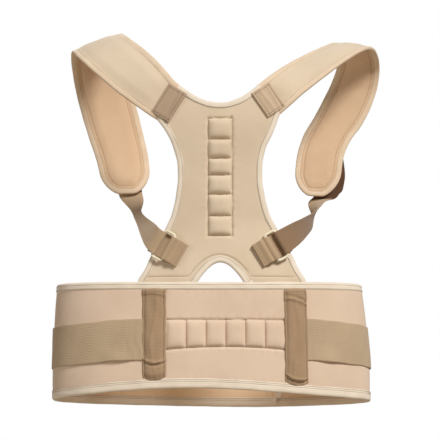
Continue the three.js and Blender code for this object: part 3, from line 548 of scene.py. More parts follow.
def mix_colour(tree, factor, a, b, blend="MIX"):
    node = tree.nodes.new("ShaderNodeMix")
    node.data_type = "RGBA"
    node.blend_type = blend
    node.clamp_factor = True
    for socket, value in ((node.inputs[0], factor), (node.inputs[6], a), (node.inputs[7], b)):
        if isinstance(value, (tuple, float, int)):
            socket.default_value = value
        else:
            tree.links.new(value, socket)
    return node.outputs[2]


def place_group(tree, group, values, place, threads=None):
    node = tree.nodes.new("ShaderNodeGroup")
    node.node_tree = group
    tree.links.new(place, node.inputs["Place"])
    if threads is not None:
        tree.links.new(threads, node.inputs["Threads"])
    for label, value in values.items():
        node.inputs[label].default_value = value
    return node


# Relief heights in metres
THREAD_HEIGHT = 0.0004
GRAIN_HEIGHT = 0.0002
GRAIN_STRENGTH = 0.12
GRAIN_SCALE = 2600.0
LINT_PALENESS = 1.25
# How much smoother the thread tops are than the hollows between them
ROUGHNESS_DROP = 0.08
SHEEN_ROUGHNESS = 0.6
CLOTH_SPECULAR = 0.25


def add_relief(tree, shader, height, strength, distance):
    relief = tree.nodes.new("ShaderNodeBump")
    relief.inputs["Strength"].default_value = strength
    relief.inputs["Distance"].default_value = distance
    tree.links.new(height, relief.inputs["Height"])
    tree.links.new(relief.outputs["Normal"], shader.inputs["Normal"])


def cloth_finish(name, light, dark, weave, weave_values, roughness, bump, shade=0.3, patch=45.0,
                 patches=0.35, lint=0.3, sheen=0.25):
    """Cloth: its two dyes, its knit or weave with painted shade in its hollows, uneven dye, lint,
    and thread relief.
    """
    material = bpy.data.materials.new(name)
    material.use_nodes = True
    tree = material.node_tree
    shader = tree.nodes["Principled BSDF"]
    spots = tree.nodes.new("ShaderNodeTexCoord").outputs["Object"]
    threads = tree.nodes.new("ShaderNodeUVMap")
    threads.uv_map = "threads"
    cloth = place_group(tree, weave, weave_values, spots, threads.outputs[0])
    wear = place_group(tree, WEAR, {"Patch Size mm": patch, "Lint": lint}, spots)
    times, plus, minus, _, times_plus = sums(tree)
    uneven = times(minus(wear.outputs["Patches"], 0.5), patches * 2)
    # Painted shade: the hollows between the threads take more of the dark dye
    depth = times(minus(1.0, cloth.outputs["Shade"]), shade)
    colour = mix_colour(tree, plus(depth, uneven), light, dark)
    pale = tuple(min(1.0, c * LINT_PALENESS) for c in light[:3]) + (1.0,)
    colour = mix_colour(tree, wear.outputs["Lint Mask"], colour, pale)
    tree.links.new(colour, shader.inputs["Base Color"])
    rough = times_plus(cloth.outputs["Shade"], -ROUGHNESS_DROP, roughness)
    tree.links.new(rough, shader.inputs["Roughness"])
    shader.inputs["Sheen Weight"].default_value = sheen
    shader.inputs["Sheen Roughness"].default_value = SHEEN_ROUGHNESS
    shader.inputs["Specular IOR Level"].default_value = CLOTH_SPECULAR
    add_relief(tree, shader, cloth.outputs["Height"], bump, THREAD_HEIGHT)
    return material


def plastic_finish(name, light, dark):
    """Moulded plastic: slightly mottled, with a fine moulding grain."""
    material = bpy.data.materials.new(name)
    material.use_nodes = True
    tree = material.node_tree
    shader = tree.nodes["Principled BSDF"]
    spots = tree.nodes.new("ShaderNodeTexCoord").outputs["Object"]
    wear = place_group(tree, WEAR, {"Patch Size mm": 9.0, "Lint": 0.0}, spots)
    tree.links.new(mix_colour(tree, wear.outputs["Patches"], light, dark),
                   shader.inputs["Base Color"])
    grain = noise_node(tree, spots, GRAIN_SCALE, 2.0)
    tree.links.new(math_node(tree, "MULTIPLY_ADD", grain, 0.2, 0.3), shader.inputs["Roughness"])
    add_relief(tree, shader, grain, GRAIN_STRENGTH, GRAIN_HEIGHT)
    return material


KNIT_FINE = {"Loop Width mm": 1.0, "Fuzz": 0.5}


def ribbed(rib, pick, slant):
    return {"Rib Width mm": rib, "Pick Length mm": pick, "Slant": slant}


TAPE_WEAVE = ribbed(1.2, 1.4, 0.2)
ELASTIC_WEAVE = ribbed(2.0, 1.2, 0.5)
WEBBING_WEAVE = ribbed(1.9, 1.3, 0.9)
STAY_WEAVE = ribbed(1.7, 1.1, 0.8)
THREAD_TWIST = ribbed(0.4, 0.6, 0.4)
# What cloths of one make share: knit or weave, its sizes, roughness and relief
KNITS = (KNIT, KNIT_FINE, 0.92, 0.35)
TAPES = (WEAVE, TAPE_WEAVE, 0.8, 0.5, {"patch": 18.0})
THREADS = (WEAVE, THREAD_TWIST, 0.75, 0.3, {"lint": 0.0})
WIDE_PATCHES = {"patch": 75.0, "patches": 0.5}
# Cloths: light dye, dark dye (also the painted shade of thread hollows), knit or weave, its sizes,
# roughness, relief, and what differs
CLOTHS = {
    "foam_fabric": ((217, 199, 174), (184, 162, 134), *KNITS, WIDE_PATCHES),
    "strap_lining": ((214, 184, 152), (180, 146, 112), *KNITS, {}),
    "belt_fabric": ((219, 196, 173), (187, 161, 137), *KNITS, WIDE_PATCHES),
    "binding_tape": ((232, 220, 202), (188, 170, 146), *TAPES),
    "strap_tape": ((224, 203, 176), (180, 154, 124), *TAPES),
    "side_elastic": ((184, 162, 132), (146, 122, 92), WEAVE, ELASTIC_WEAVE, 0.85, 0.55, {}),
    "strap_webbing": ((184, 158, 126), (138, 111, 82), WEAVE, WEBBING_WEAVE, 0.8, 0.6, {}),
    # Painted shadow: a near-black copy of the webbing for its sewn end, where the pad's shade falls
    "webbing_painted_shadow": ((96, 68, 48), (62, 42, 30), WEAVE, WEBBING_WEAVE, 0.9, 0.6,
                          {"lint": 0.0, "sheen": 0.0}),
    # Painted shade: a darker copy of the webbing for its lower face
    "webbing_reverse_painted_shade": ((138, 110, 82), (98, 74, 52), WEAVE, WEBBING_WEAVE, 0.85, 0.6, {}),
    "stay_webbing": ((168, 140, 109), (124, 98, 71), WEAVE, STAY_WEAVE, 0.85, 0.6, {"lint": 0.7}),
    "patch_webbing": ((180, 156, 130), (140, 116, 92), WEAVE, STAY_WEAVE, 0.85, 0.6, {}),
    # Painted light: a paler copy of the patch webbing, for the better-lit right patch
    "patch_webbing_painted_light": ((203, 179, 151), (166, 142, 115), WEAVE, STAY_WEAVE, 0.85, 0.6, {}),
    "belt_lining": ((233, 204, 170), (206, 175, 140), *KNITS, {}),
    "thread": ((148, 121, 89), (114, 90, 64), *THREADS),
    "dark_thread": ((122, 98, 72), (96, 76, 54), *THREADS),
    "pale_thread": ((206, 182, 152), (176, 150, 120), *THREADS),
}
FINISH = {}
for cloth_name, (light_dye, dark_dye, *making, extras) in CLOTHS.items():
    FINISH[cloth_name] = cloth_finish(
        cloth_name, linear(*light_dye), linear(*dark_dye), *making, **extras)
FINISH["moulded_plastic"] = plastic_finish(
    "moulded_plastic", linear(236, 228, 206), linear(220, 208, 180))


# Waist belt

BELT_HALF_WIDTH = BELT_WIDTH / 2 - BELT_THICKNESS / 2
BELT_HALF_DEPTH = BELT_DEPTH / 2 - BELT_THICKNESS / 2
PLAN_STEPS = 720
_turns = np.linspace(0, 2 * math.pi, PLAN_STEPS + 1)
_power = 2 / BELT_SQUARENESS
PLAN_X = BELT_HALF_WIDTH * squared_off(np.sin(_turns), _power)
PLAN_Y = -BELT_HALF_DEPTH * squared_off(np.cos(_turns), _power)
PLAN_LENGTHS = path_lengths(np.stack([PLAN_X, PLAN_Y], 1))
BELT_LOOP = PLAN_LENGTHS[-1]
CLOSURE_MIDDLE = BELT_LOOP / 2 - CLOSURE_SHIFT
OUTER_END = CLOSURE_MIDDLE + CLOSURE_OVERLAP / 2
INNER_END = OUTER_END - BELT_LOOP - CLOSURE_OVERLAP
LUMBAR_HALF = STAY_OFFSET - STAY_WIDTH / 2
CELL_WIDTH = 2 * LUMBAR_HALF / LUMBAR_CELLS
LUMBAR_START = BACK_SHIFT - LUMBAR_HALF
LUMBAR_END = BACK_SHIFT + LUMBAR_HALF
LUMBAR_FLOOR = LUMBAR_MIDDLE - LUMBAR_HEIGHT / 2


def plan_at(arc):
    length = np.mod(arc, BELT_LOOP)
    return np.interp(length, PLAN_LENGTHS, PLAN_X), np.interp(length, PLAN_LENGTHS, PLAN_Y)


def closure_lift(arc):
    start = OUTER_END - CLOSURE_OVERLAP - CLOSURE_RAMP
    return (BELT_BINDING_THICKNESS + GAP) * smoothstep((arc - start) / (CLOSURE_RAMP - GAP))


def belt_upper_edge(arc):
    return BELT_TOP - TOP_DIP * np.cos(math.pi * arc / BELT_LOOP) ** 4


def belt_lower_edge(arc):
    back = np.cos(math.pi * (arc + 1.5 * BACK_SHIFT) / BELT_LOOP) ** 8
    front = np.sin(math.pi * (arc + CLOSURE_SHIFT) / BELT_LOOP) ** 8
    return BELT_BOTTOM + BOTTOM_RISE * back - FRONT_DROP * front


def belt_low(arc):
    return belt_lower_edge(arc) + BOTTOM_BINDING + GAP


def belt_high(arc):
    return belt_upper_edge(arc) - TOP_BINDING - GAP


def belt_points(arc, height, off=0.0):
    """Points of the belt's middle surface, moved out by off."""
    arc, height = np.broadcast_arrays(np.asarray(arc, float), np.asarray(height, float))
    share = np.maximum(0, (height - BELT_BOTTOM) / (BELT_TOP - BELT_BOTTOM))
    shallow = 1 - BELT_DEPTH_TAPER * share ** 2
    here_x, here_y = plan_at(arc)
    reach = 2.0
    fore_x, fore_y = plan_at(arc + reach)
    back_x, back_y = plan_at(arc - reach)
    way = unit(np.stack([fore_x - back_x, fore_y - back_y], -1))
    lift = off + closure_lift(arc)
    sideways = share * here_x / BELT_HALF_WIDTH
    x = here_x * (1 - BELT_TAPER * sideways ** 2) - BELT_LEAN * sideways ** 2
    return np.stack([x + way[..., 1] * lift, here_y * shallow - way[..., 0] * lift, height], -1)


def belt_normals(arc, height):
    ahead, behind = belt_points(arc + 1.5, height), belt_points(arc - 1.5, height)
    above, below = belt_points(arc, height + 1.5), belt_points(arc, height - 1.5)
    return unit(np.cross(ahead - behind, above - below))


def spaced(start, end, step):
    return np.linspace(start, end, max(2, int(round((end - start) / step)) + 1))[:-1]


LUMBAR_TOP = LUMBAR_FLOOR + LUMBAR_HEIGHT
LUMBAR_RELIEF = 3.4
LUMBAR_FOOT_DROP = 1.2
LUMBAR_FOOT_ARCH = 3.4
LUMBAR_ROW_SEAM = 1.7
LUMBAR_COLUMN_SEAM = 1.4
SEAM_WIDTH = 1.3
BELT_CROWN = 0.7
BELT_TAPE_THICKNESS = BELT_BINDING_THICKNESS + 0.6
# Folds of the belt's cloth: height, wave length along and across it, and seed of its waves
LUMBAR_CREASES = ((0.35, 2.2, 2.0, 11),)
BELT_FOLDS = ((0.5, 34, 22, 5), (0.22, 12, 11, 8))
BELT_INNER_FOLDS = ((0.35, 30, 24, 9),)


def lumbar_foot(arc):
    """Height of the quilted row's lower seam, which arches up to its middle."""
    across = (arc - BACK_SHIFT) / LUMBAR_HALF
    return LUMBAR_FLOOR - LUMBAR_FOOT_DROP + LUMBAR_FOOT_ARCH * (1 - across ** 2)


def groove(distance, width):
    """Profile of a sunken seam or, turned over, of a ridge: 1 on its line and 0 beside it."""
    return np.exp(-(distance / width) ** 2)


def cushion(share, power):
    """Profile of a filled cell: 0 at its edges and 1 in its middle, flatter for a high power."""
    return 1 - np.abs(2 * share - 1) ** power


def lumbar_relief(arc, height):
    """Quilted cells of the row at the back, pulled in along their seams."""
    across = (arc - LUMBAR_START) / CELL_WIDTH
    foot = lumbar_foot(arc)
    up = (height - foot) / (LUMBAR_TOP - foot)
    inside = (across > 0) & (across < LUMBAR_CELLS) & (up > 0) & (up < 1)
    cell = np.mod(across, 1)
    puff = np.maximum(cushion(cell, 3.2) * cushion(np.clip(up, 0, 1), 4), 0)
    columns = np.minimum(cell, 1 - cell) * CELL_WIDTH
    rows = np.minimum(np.abs(height - foot), np.abs(height - LUMBAR_TOP))
    crease = folds_in(LUMBAR_CREASES, arc, height) * np.exp(-np.minimum(columns, rows) / 4)
    cells = LUMBAR_RELIEF * puff + crease - LUMBAR_COLUMN_SEAM * groove(columns, SEAM_WIDTH)
    span = (across > -0.02) & (across < LUMBAR_CELLS + 0.02)
    row_seams = np.where(span, LUMBAR_ROW_SEAM * groove(rows, 1.4), 0)
    pull = gathers(arc, 0.28, 1.9, 2, 11) * groove(np.maximum(rows - 1, 0), 4.0)
    return np.where(inside, cells, 0) - row_seams + np.where(span & ~inside, pull, 0)


def belt_soft(arc, height):
    """Soft shape of the belt's outer face: crowned between its seams, with shallow folds."""
    low, high = belt_low(arc), belt_high(arc)
    up = np.clip((height - low) / (high - low), 0, 1)
    from_edge = np.maximum(np.minimum(height - low, high - height), 0)
    edge_gathers = gathers(arc, 0.2, 1.7, 1.5, 17) * np.exp(-from_edge / 3.5)
    in_row = (arc > LUMBAR_START) & (arc < LUMBAR_END)
    folds = folds_in(BELT_FOLDS, arc, height) * np.where(in_row, 0.5, 1.0)
    return BELT_CROWN * cushion(up, 4) + folds + edge_gathers


def belt_face(arc, height, off=0.0):
    """Points that stand off the belt's soft outer face, and its normals there."""
    normals = belt_normals(arc, height)
    lift = BELT_THICKNESS / 2 + belt_soft(arc, height) + off
    return belt_points(arc, height) + normals * lift[..., None], normals


# Spacing of the belt's rows of points, closer together beside the quilted row
COARSE_STEP = 4.0
FINE_STEP = 2.5
FINE_REACH = 40


def make_belt():
    """Belt in one strip, its ends overlapped at the front, and the tapes round its edges."""
    arcs = np.concatenate([
        spaced(INNER_END, LUMBAR_START - FINE_REACH, COARSE_STEP),
        spaced(LUMBAR_START - FINE_REACH, LUMBAR_START, FINE_STEP),
        spaced(LUMBAR_START, LUMBAR_END, CELL_WIDTH / 20),
        spaced(LUMBAR_END, LUMBAR_END + FINE_REACH, FINE_STEP),
        spaced(LUMBAR_END + FINE_REACH, OUTER_END, COARSE_STEP),
        [OUTER_END]])
    rows = np.concatenate([
        spaced(0, 0.33, 0.022), spaced(0.33, 0.72, 0.0098), spaced(0.72, 1, 0.022), [1]])
    arc = np.repeat(arcs[:, None], len(rows), 1)
    height = mix(belt_low(arc), belt_high(arc), rows[None, :])
    grid = belt_points(arc, height)
    rise = BELT_THICKNESS / 2 + belt_soft(arc, height) + lumbar_relief(arc, height)
    sink = BELT_THICKNESS / 2 + folds_in(BELT_INNER_FOLDS, arc, height)
    piece = add_sheet("belt", grid, rise, sink, [FINISH["belt_fabric"], FINISH["belt_lining"]])
    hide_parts("belt_body")
    for name, heights, out, width in (
            ("belt_binding_top", belt_high(arcs), 1, TOP_BINDING),
            ("belt_binding_bottom", belt_low(arcs), -1, BOTTOM_BINDING)):
        fold_tape(name, belt_points(arcs, heights), belt_normals(arcs, heights),
                  np.array([0, 0, out]), width - GAP, BELT_TAPE_THICKNESS, lip=2.0)
    for name, end, way in (("inner", 0, -1), ("outer", len(arcs) - 1, 1)):
        out = (grid[end] - grid[end - way])[0]
        fold_tape(f"belt_end_binding_{name}", grid[end], belt_normals(arc[end], height[end]), out,
                  BINDING, BELT_BINDING_THICKNESS, lip=2.0)


def belt_line(arcs, heights, off):
    """A line on the belt's outer face for a row of stitches."""
    arcs = np.asarray(arcs, float)
    heights = np.broadcast_to(np.asarray(heights, float), arcs.shape)
    points, normals = belt_face(arcs, heights)
    relief = lumbar_relief(arcs, heights) + off
    return points + normals * relief[:, None], normals


def stitch_belt():
    """Stitching of the belt's tapes, of its quilted row, and of the hems at its two ends."""
    fine = np.linspace(INNER_END + 4, OUTER_END - 4, 700)
    lift = BELT_TAPE_THICKNESS / 2 + 0.08
    edges = []
    for heights, steps in ((belt_high(fine), (0.3, 5.6)), (belt_low(fine), (-0.2, -2.6))):
        for step in steps:
            points = belt_points(fine, heights + step)
            normals = belt_normals(fine, heights + step)
            edges.append((points + normals * lift, normals))
            edges.append((points - normals * lift, -normals))
    add_stitches("belt_edge_stitching", edges, pitch=3.4)
    row = np.linspace(LUMBAR_START - 0.5, LUMBAR_END + 0.5, 300)
    seams = [belt_line(row, LUMBAR_TOP, 0.3), belt_line(row, lumbar_foot(row), 0.3)]
    for cell in range(1, LUMBAR_CELLS):
        arc = LUMBAR_START + cell * CELL_WIDTH
        heights = np.linspace(float(lumbar_foot(np.array(arc))) + 1, LUMBAR_TOP - 1, 40)
        seams.append(belt_line(np.full(40, arc), heights, 0.12))
    add_stitches("lumbar_stitching", seams, pitch=2.6, radius=0.3)
    ends = []
    for arc in (OUTER_END - 5, OUTER_END - 12, INNER_END + 5, INNER_END + 12):
        line = np.full(60, arc)
        low, high = belt_low(np.array(arc)), belt_high(np.array(arc))
        heights = np.linspace(float(low) + 2, float(high) - 2, 60)
        ends.append(belt_line(line, heights, 0.1))
        points, normals = belt_points(line, heights), belt_normals(line, heights)
        sink = BELT_THICKNESS / 2 + folds_in(BELT_INNER_FOLDS, line, heights) + 0.1
        ends.append((points - normals * sink[:, None], -normals))
    add_stitches("belt_end_stitching", ends, pitch=3.0, radius=0.32)


# Stays and side elastics

def rim_shares(length, radius, step):
    """Stations along a length, closer together at its rounded ends, and how full each is."""
    ends = radius * (1 - np.cos(np.linspace(0, math.pi / 2, 5)))
    middle = spaced(radius, length - radius, step)[1:]
    stops = np.concatenate([ends, middle, length - ends[::-1]])
    near = np.clip(np.minimum(stops, length - stops) / radius, 0, 1)
    return stops / length, np.sqrt(np.maximum(1 - (1 - near) ** 2, 0.0))


# Each pocket's closed flap: its depth, the slope of its edge, and the crease above its foot
STAY_FLAPS = {
    "left": {"flap": 9.0, "slope": 1.5, "crease": 19.0, "folded": False},
    "right": {"flap": 11.0, "slope": 5.0, "crease": 4.0, "folded": True},
}
STAY_WAVES = ((0.9, 5, 13, 21),)
STAY_WRINKLES = ((0.6, 2.6, 7, 31),)
STAY_LENGTH = 118.0
STAY_EDGE_ROUND = 1.6
STAY_THICKNESS = 1.5
STAY_CROWN = 2.6
STAY_FLAP_STEP = 1.3
STAY_FOLD = 1.9
STAY_CREASE = 1.9
STAY_RIDGE = 1.6
STAY_SEAM_DEPTH = 1.2
STAY_SEAM_INSET = 3.0


def make_stay(name, side):
    """Webbing pocket over a stay, its closed flap at the top and a crease above its foot."""
    start = BACK_SHIFT + side * STAY_OFFSET - STAY_WIDTH / 2
    shares, full_across = rim_shares(STAY_WIDTH, STAY_EDGE_ROUND, 1.3)
    rows, full_up = rim_shares(STAY_LENGTH, STAY_EDGE_ROUND, 1.5)
    arc = np.repeat((start + shares * STAY_WIDTH)[:, None], len(rows), 1)
    roundness = (2 * shares - 1) ** 2 * STAY_WIDTH
    wave = 0.25 * np.sin(rows * 21 + side) + 0.2 * np.sin(rows * 47 + 2 * side)
    low = belt_low(arc) - 1.0 + (roundness * 0.16)[:, None]
    high = belt_high(arc) + 1.0 - (roundness * 0.05)[:, None]
    height = mix(low, high, rows[None, :])
    arc = arc + wave[None, :] * (2 * shares - 1)[:, None]
    grid, _ = belt_face(arc, height, -0.1)
    flaps = STAY_FLAPS[name]
    across = (2 * shares - 1)[:, None]
    below_top = high - height
    above_foot = height - low
    crown = (STAY_CROWN * (1 - np.abs(across) ** 3) * smoothstep(above_foot / 9)
             * smoothstep(below_top / 5))
    step = smoothstep((flaps["flap"] + flaps["slope"] * across - below_top) / 0.9)
    fold = STAY_FOLD * groove(below_top - flaps["flap"] - 5 - 4 * across, 1.6) * flaps["folded"]
    above_crease = above_foot - flaps["crease"] + 1.5 * across
    crease = -STAY_CREASE * groove(above_crease - 2.2 * across ** 2, 1.2)
    ridge = STAY_RIDGE * groove(above_crease - 3.5, 1.6)
    from_side = (1 - np.abs(across)) * STAY_WIDTH / 2
    side_seam = -STAY_SEAM_DEPTH * groove(from_side - STAY_SEAM_INSET, 1.1)
    folds = (folds_in(STAY_WAVES, arc, height, side) + folds_in(STAY_WRINKLES, arc, height)
             + 0.8 * groove(across - 0.25 * np.sin(height / 17 + side), 0.14))
    lift = (STAY_THICKNESS + crown + STAY_FLAP_STEP * step + fold + crease + ridge + side_seam
            + folds * (1 - 0.5 * step))
    rise = lift * full_across[:, None] * full_up[None, :] + 0.12
    piece = add_sheet(f"stay_{name}", grid, rise, 0.0, [FINISH["stay_webbing"]])
    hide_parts(f"stay_pocket_{name}")
    lines = []
    normals = grid_normals(grid)
    surface = grid + normals * (rise + THREAD_LIFT)[..., None]
    for column in (np.argmin(np.abs(shares - 0.1)), np.argmin(np.abs(shares - 0.9))):
        lines.append((surface[column, 6:-6], normals[column, 6:-6]))
    for row in (6, len(rows) - 7):
        lines.append((surface[4:-4, row], normals[4:-4, row]))
    add_stitches(f"stay_stitching_{name}", lines, pitch=2.8, radius=0.3,
                 finish="dark_thread")


ELASTIC_TUCK = 1.2
ELASTIC_EDGE_ROUND = 0.8
ELASTIC_RIB = 0.07
ELASTIC_RIB_WIDTH = 3.25
ELASTIC_WAVES = ((1.1, 13, 24, 41),)
ELASTIC_GATHER = 0.9
ELASTIC_GATHER_REACH = 16


def make_elastic(name, side):
    """Side elastic, gathered where it leaves the stay, and its sewn end on the front."""
    start = BACK_SHIFT + side * (STAY_OFFSET + STAY_WIDTH / 2 - ELASTIC_TUCK)
    end = side * ELASTIC_END * BELT_LOOP
    low_end, high_end = min(start, end), max(start, end)
    shares, full_along = rim_shares(high_end - low_end, ELASTIC_EDGE_ROUND, 2.4)
    rows, full_up = rim_shares(ELASTIC_WIDTH, ELASTIC_EDGE_ROUND, 1.0)
    arcs = mix(low_end, high_end, shares)
    arc = np.repeat(arcs[:, None], len(rows), 1)
    travel = (arc - start) / (end - start)
    fall = ELASTIC_FALL * smoothstep(2.2 * travel)
    length = np.abs(arc - start)
    edge_wave = 0.35 * np.sin(length / 13 + side) + 0.25 * np.sin(length / 5.5)
    height = (ELASTIC_MIDDLE - fall + (rows[None, :] - 0.5) * ELASTIC_WIDTH
              + edge_wave * (2 * np.abs(rows - 0.5))[None, :])
    grid, _ = belt_face(arc, height, 0.05)
    ribs = ELASTIC_RIB * np.cos(2 * math.pi * rows * ELASTIC_WIDTH / ELASTIC_RIB_WIDTH)[None, :]
    gather = ELASTIC_GATHER * np.exp(-length / ELASTIC_GATHER_REACH) * (
        0.65 * np.sin(length / 1.75 + 1.4 * np.sin(rows * 9)[None, :] + side)
        * np.exp(-((rows - 0.34) / 0.22) ** 2)[None, :]
        + 0.35 * np.sin(length / 1.3 + 3 * rows[None, :]))
    waves = folds_in(ELASTIC_WAVES, length + 0.6 * height, height - 0.5 * length, side)
    bulge = 2.4 * groove(length - 33, 17) * smoothstep((0.42 - rows) / 0.42)[None, :]
    rise = ELASTIC_THICKNESS * 0.8 + ribs + gather + np.abs(waves) + bulge
    rise = rise * full_up[None, :] * np.maximum(full_along, 0.3)[:, None] + 0.1
    piece = add_sheet(f"elastic_{name}", grid, rise, 0.0, [FINISH["side_elastic"]])
    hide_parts(f"side_elastic_{name}")
    normals = grid_normals(grid)
    surface = grid + normals * (rise + 0.1)[..., None]
    far = -1 if side > 0 else 0
    lines = [(surface[far - side * rows_in, 3:-3], normals[far, 3:-3]) for rows_in in (5, 8)]
    add_stitches(f"elastic_stitching_{name}", lines, pitch=2.4, radius=0.32,
                 finish="dark_thread")


# Back panel

PANEL_SIDES = {
    -1: [(0, 1), (0.066, 0.91), (0.131, 0.85), (0.276, 0.68), (0.376, 0.587), (0.477, 0.537),
         (0.577, 0.513), (0.649, 0.517), (0.753, 0.57), (0.84, 0.655)],
    1: [(0, 1.045), (0.066, 0.955), (0.131, 0.89), (0.276, 0.71), (0.376, 0.602), (0.477, 0.545),
        (0.577, 0.515), (0.649, 0.517), (0.753, 0.56), (0.84, 0.65)],
}
# Corners of the seam at each strap: outer and inner, x and z as shares
PANEL_CORNERS = {-1: ((0.755, 0.9), (0.485, 1.1)), 1: ((0.715, 0.93), (0.46, 1.105))}
PANEL_PROFILE = [(0, 0), (0.3, -0.035), (0.65, 0.01), (0.9, 0.045), (1.1, 0.03)]
PANEL_FOOT_Y = float(belt_points(BACK_SHIFT, BELT_TOP)[1])
PANEL_BOW = float(belt_points(BACK_SHIFT + PANEL_HALF_WIDTH, BELT_TOP)[1]) - PANEL_FOOT_Y


def panel_y(x, z):
    share = (z - BELT_TOP) / PANEL_RISE
    return (PANEL_FOOT_Y - STRAP_DEPTH * curve_through(PANEL_PROFILE, share)
            + PANEL_BOW * (x / PANEL_HALF_WIDTH) ** 2)


def panel_point(x, z):
    return np.array([PANEL_SHIFT + x, panel_y(x, z), z])


def panel_normal(x, z):
    along = panel_point(x + 1, z) - panel_point(x - 1, z)
    return unit(np.cross(along, panel_point(x, z + 1) - panel_point(x, z - 1)))


def seam_end(side, share):
    outer, inner = np.array(PANEL_CORNERS[side]) * (PANEL_HALF_WIDTH, PANEL_RISE)
    inset = CUT / np.linalg.norm(outer - inner)
    return mix(outer, inner, mix(inset, 1 - inset, share))


def foot_line(side, x):
    return float(belt_upper_edge(PANEL_SHIFT + side * x)) + GAP - BELT_TOP


def side_border(side, t):
    corner = seam_end(side, 0)
    up = corner[1] / PANEL_RISE
    rows = PANEL_SIDES[side] + [(up, (corner[0] + CUT) / PANEL_HALF_WIDTH)]
    x = curve_through(rows, t * up) * PANEL_HALF_WIDTH - CUT
    return np.array([x, mix(foot_line(side, x), corner[1], t)])


def lower_border(side, t):
    if t > 0.5:
        x = mix(ARCH_HALF_WIDTH, PANEL_SIDES[side][0][1] * PANEL_HALF_WIDTH - CUT, 2 * t - 1)
        return np.array([x, foot_line(side, x)])
    x = ARCH_HALF_WIDTH * math.sin(math.pi * t)
    foot = foot_line(side, ARCH_HALF_WIDTH)
    return np.array([x, mix(ARCH_HEIGHT, foot, (x / ARCH_HALF_WIDTH) ** 2)])


def upper_border(side, t):
    if t > 0.5:
        return seam_end(side, 2 * (1 - t))
    inner = seam_end(side, 1)
    low = PANEL_RISE - CUT
    s = 2 * t
    return np.array([inner[0] * s, low + (inner[1] - low) * s ** 2])


def half_rows(side, shares_u, shares_v):
    """Flat points of one half of the panel, patched between its four borders."""
    low = np.array([lower_border(side, u) for u in shares_u])[:, None]
    high = np.array([upper_border(side, u) for u in shares_u])[:, None]
    outer = np.array([side_border(side, v) for v in shares_v])[None]
    heights = mix(ARCH_HEIGHT, PANEL_RISE - CUT, shares_v)
    middle = np.stack([np.zeros(len(shares_v)), heights], 1)[None]
    u, v = np.asarray(shares_u)[:, None, None], np.asarray(shares_v)[None, :, None]
    flat = mix(mix(low[0], low[-1], u), mix(high[0], high[-1], u), v)
    return mix(low, high, v) + mix(middle, outer, u) - flat


SPINE_RELIEF = 4.3
SPINE_ROUNDNESS = 3.4
SPINE_SEAM_DEPTH = 2.1
SPINE_CREASES = ((0.35, 2.0, 2.2, 13),)


def spine_relief(x, z):
    """Six raised squares, each pulled down along its stitched seams."""
    half = SPINE_WIDTH / 2
    inside = (np.abs(x) < half) & (z < SPINE_SEAMS[0]) & (z > SPINE_SEAMS[-1])
    relief = np.zeros_like(x)
    near = np.full_like(x, FAR)
    for top, foot in zip(SPINE_SEAMS, SPINE_SEAMS[1:]):
        up = (z - foot) / (top - foot)
        here = inside & (up >= 0) & (up <= 1)
        across = 1 - np.abs(x / half) ** SPINE_ROUNDNESS
        puff = across * cushion(np.clip(up, 0, 1), SPINE_ROUNDNESS)
        relief = np.where(here, SPINE_RELIEF * puff, relief)
        near = np.minimum(near, np.abs(z - top))
        near = np.minimum(near, np.abs(z - foot))
    sides = np.abs(np.abs(x) - half)
    crease = folds_in(SPINE_CREASES, x, z) * np.exp(-np.minimum(sides, near) / 3.5)
    relief = relief + np.where(inside, crease, 0)
    seams = np.where(np.abs(x) < half + 1, groove(near, SEAM_WIDTH), 0)
    tall = (z < SPINE_SEAMS[0] + 2) & (z > SPINE_SEAMS[-1] - 2)
    seams = np.maximum(seams, np.where(tall, groove(sides, SEAM_WIDTH), 0))
    tug = gathers(z, 0.22, 1.6, 1.4, 9) * groove(np.maximum(sides - 1, 0), 4.5)
    return relief - SPINE_SEAM_DEPTH * seams + np.where(~inside & tall, tug, 0)


HEM_RISE = 1.9
HEM_OFF_ARCH = 3.5
HEM_DEPTH = 1.1
HEM_WIDTH = 1.2


def hem_line():
    """Sewn line along the panel's foot that climbs over the arch, as x and z over the belt."""
    x = np.linspace(0, ARCH_HALF_WIDTH, 60)
    slope = 2 * ARCH_HEIGHT * x / ARCH_HALF_WIDTH ** 2
    steep = np.sqrt(1 + slope ** 2)
    over = np.stack([x + HEM_OFF_ARCH * slope / steep,
                     ARCH_HEIGHT * (1 - (x / ARCH_HALF_WIDTH) ** 2) + HEM_OFF_ARCH / steep], 1)
    over = over[over[:, 1] > HEM_RISE]
    flat = np.linspace(over[-1, 0] + 2.0, PANEL_HALF_WIDTH - 2 * BINDING, 50)
    half = np.concatenate([over, np.stack([flat, np.full(50, HEM_RISE)], 1)])
    line = np.concatenate([half[:0:-1] * (-1, 1), half])
    for _ in range(3):
        line[1:-1] = evened(line)
    return line


HEM_LINE = hem_line()


def hem_groove(x, z):
    """Depth of the groove that the hem's stitches pull into the panel's foot."""
    low = np.asarray(z - BELT_TOP < ARCH_HEIGHT + 12)
    depth = np.zeros(np.shape(x))
    away = np.hypot(x[low][:, None] - HEM_LINE[:, 0], z[low][:, None] - BELT_TOP - HEM_LINE[:, 1])
    depth[low] = HEM_DEPTH * groove(away.min(axis=1, initial=FAR), HEM_WIDTH)
    return depth


PANEL_FOLDS = ((0.8, 26, 30, 3), (0.2, 9, 12, 4))
PANEL_SOFTNESS = 0.7


def panel_soft(x, z):
    """Shallow folds of the panel's cloth, calmer at its edges, and the pull of its foot and hem."""
    edge = np.clip((PANEL_HALF_WIDTH - np.abs(x)) / 60, 0, 1)
    foot_pull = 0.5 * np.sin(x / 7.5 + 0.8) * np.exp(-(z - BELT_TOP) / 14)
    return folds_in(PANEL_FOLDS, x, z) * (0.4 + 0.6 * edge) + foot_pull - hem_groove(x, z)


PANEL_TUCK = 3.2
PANEL_INNER_FOLDS = ((0.5, 24, 30, 6),)


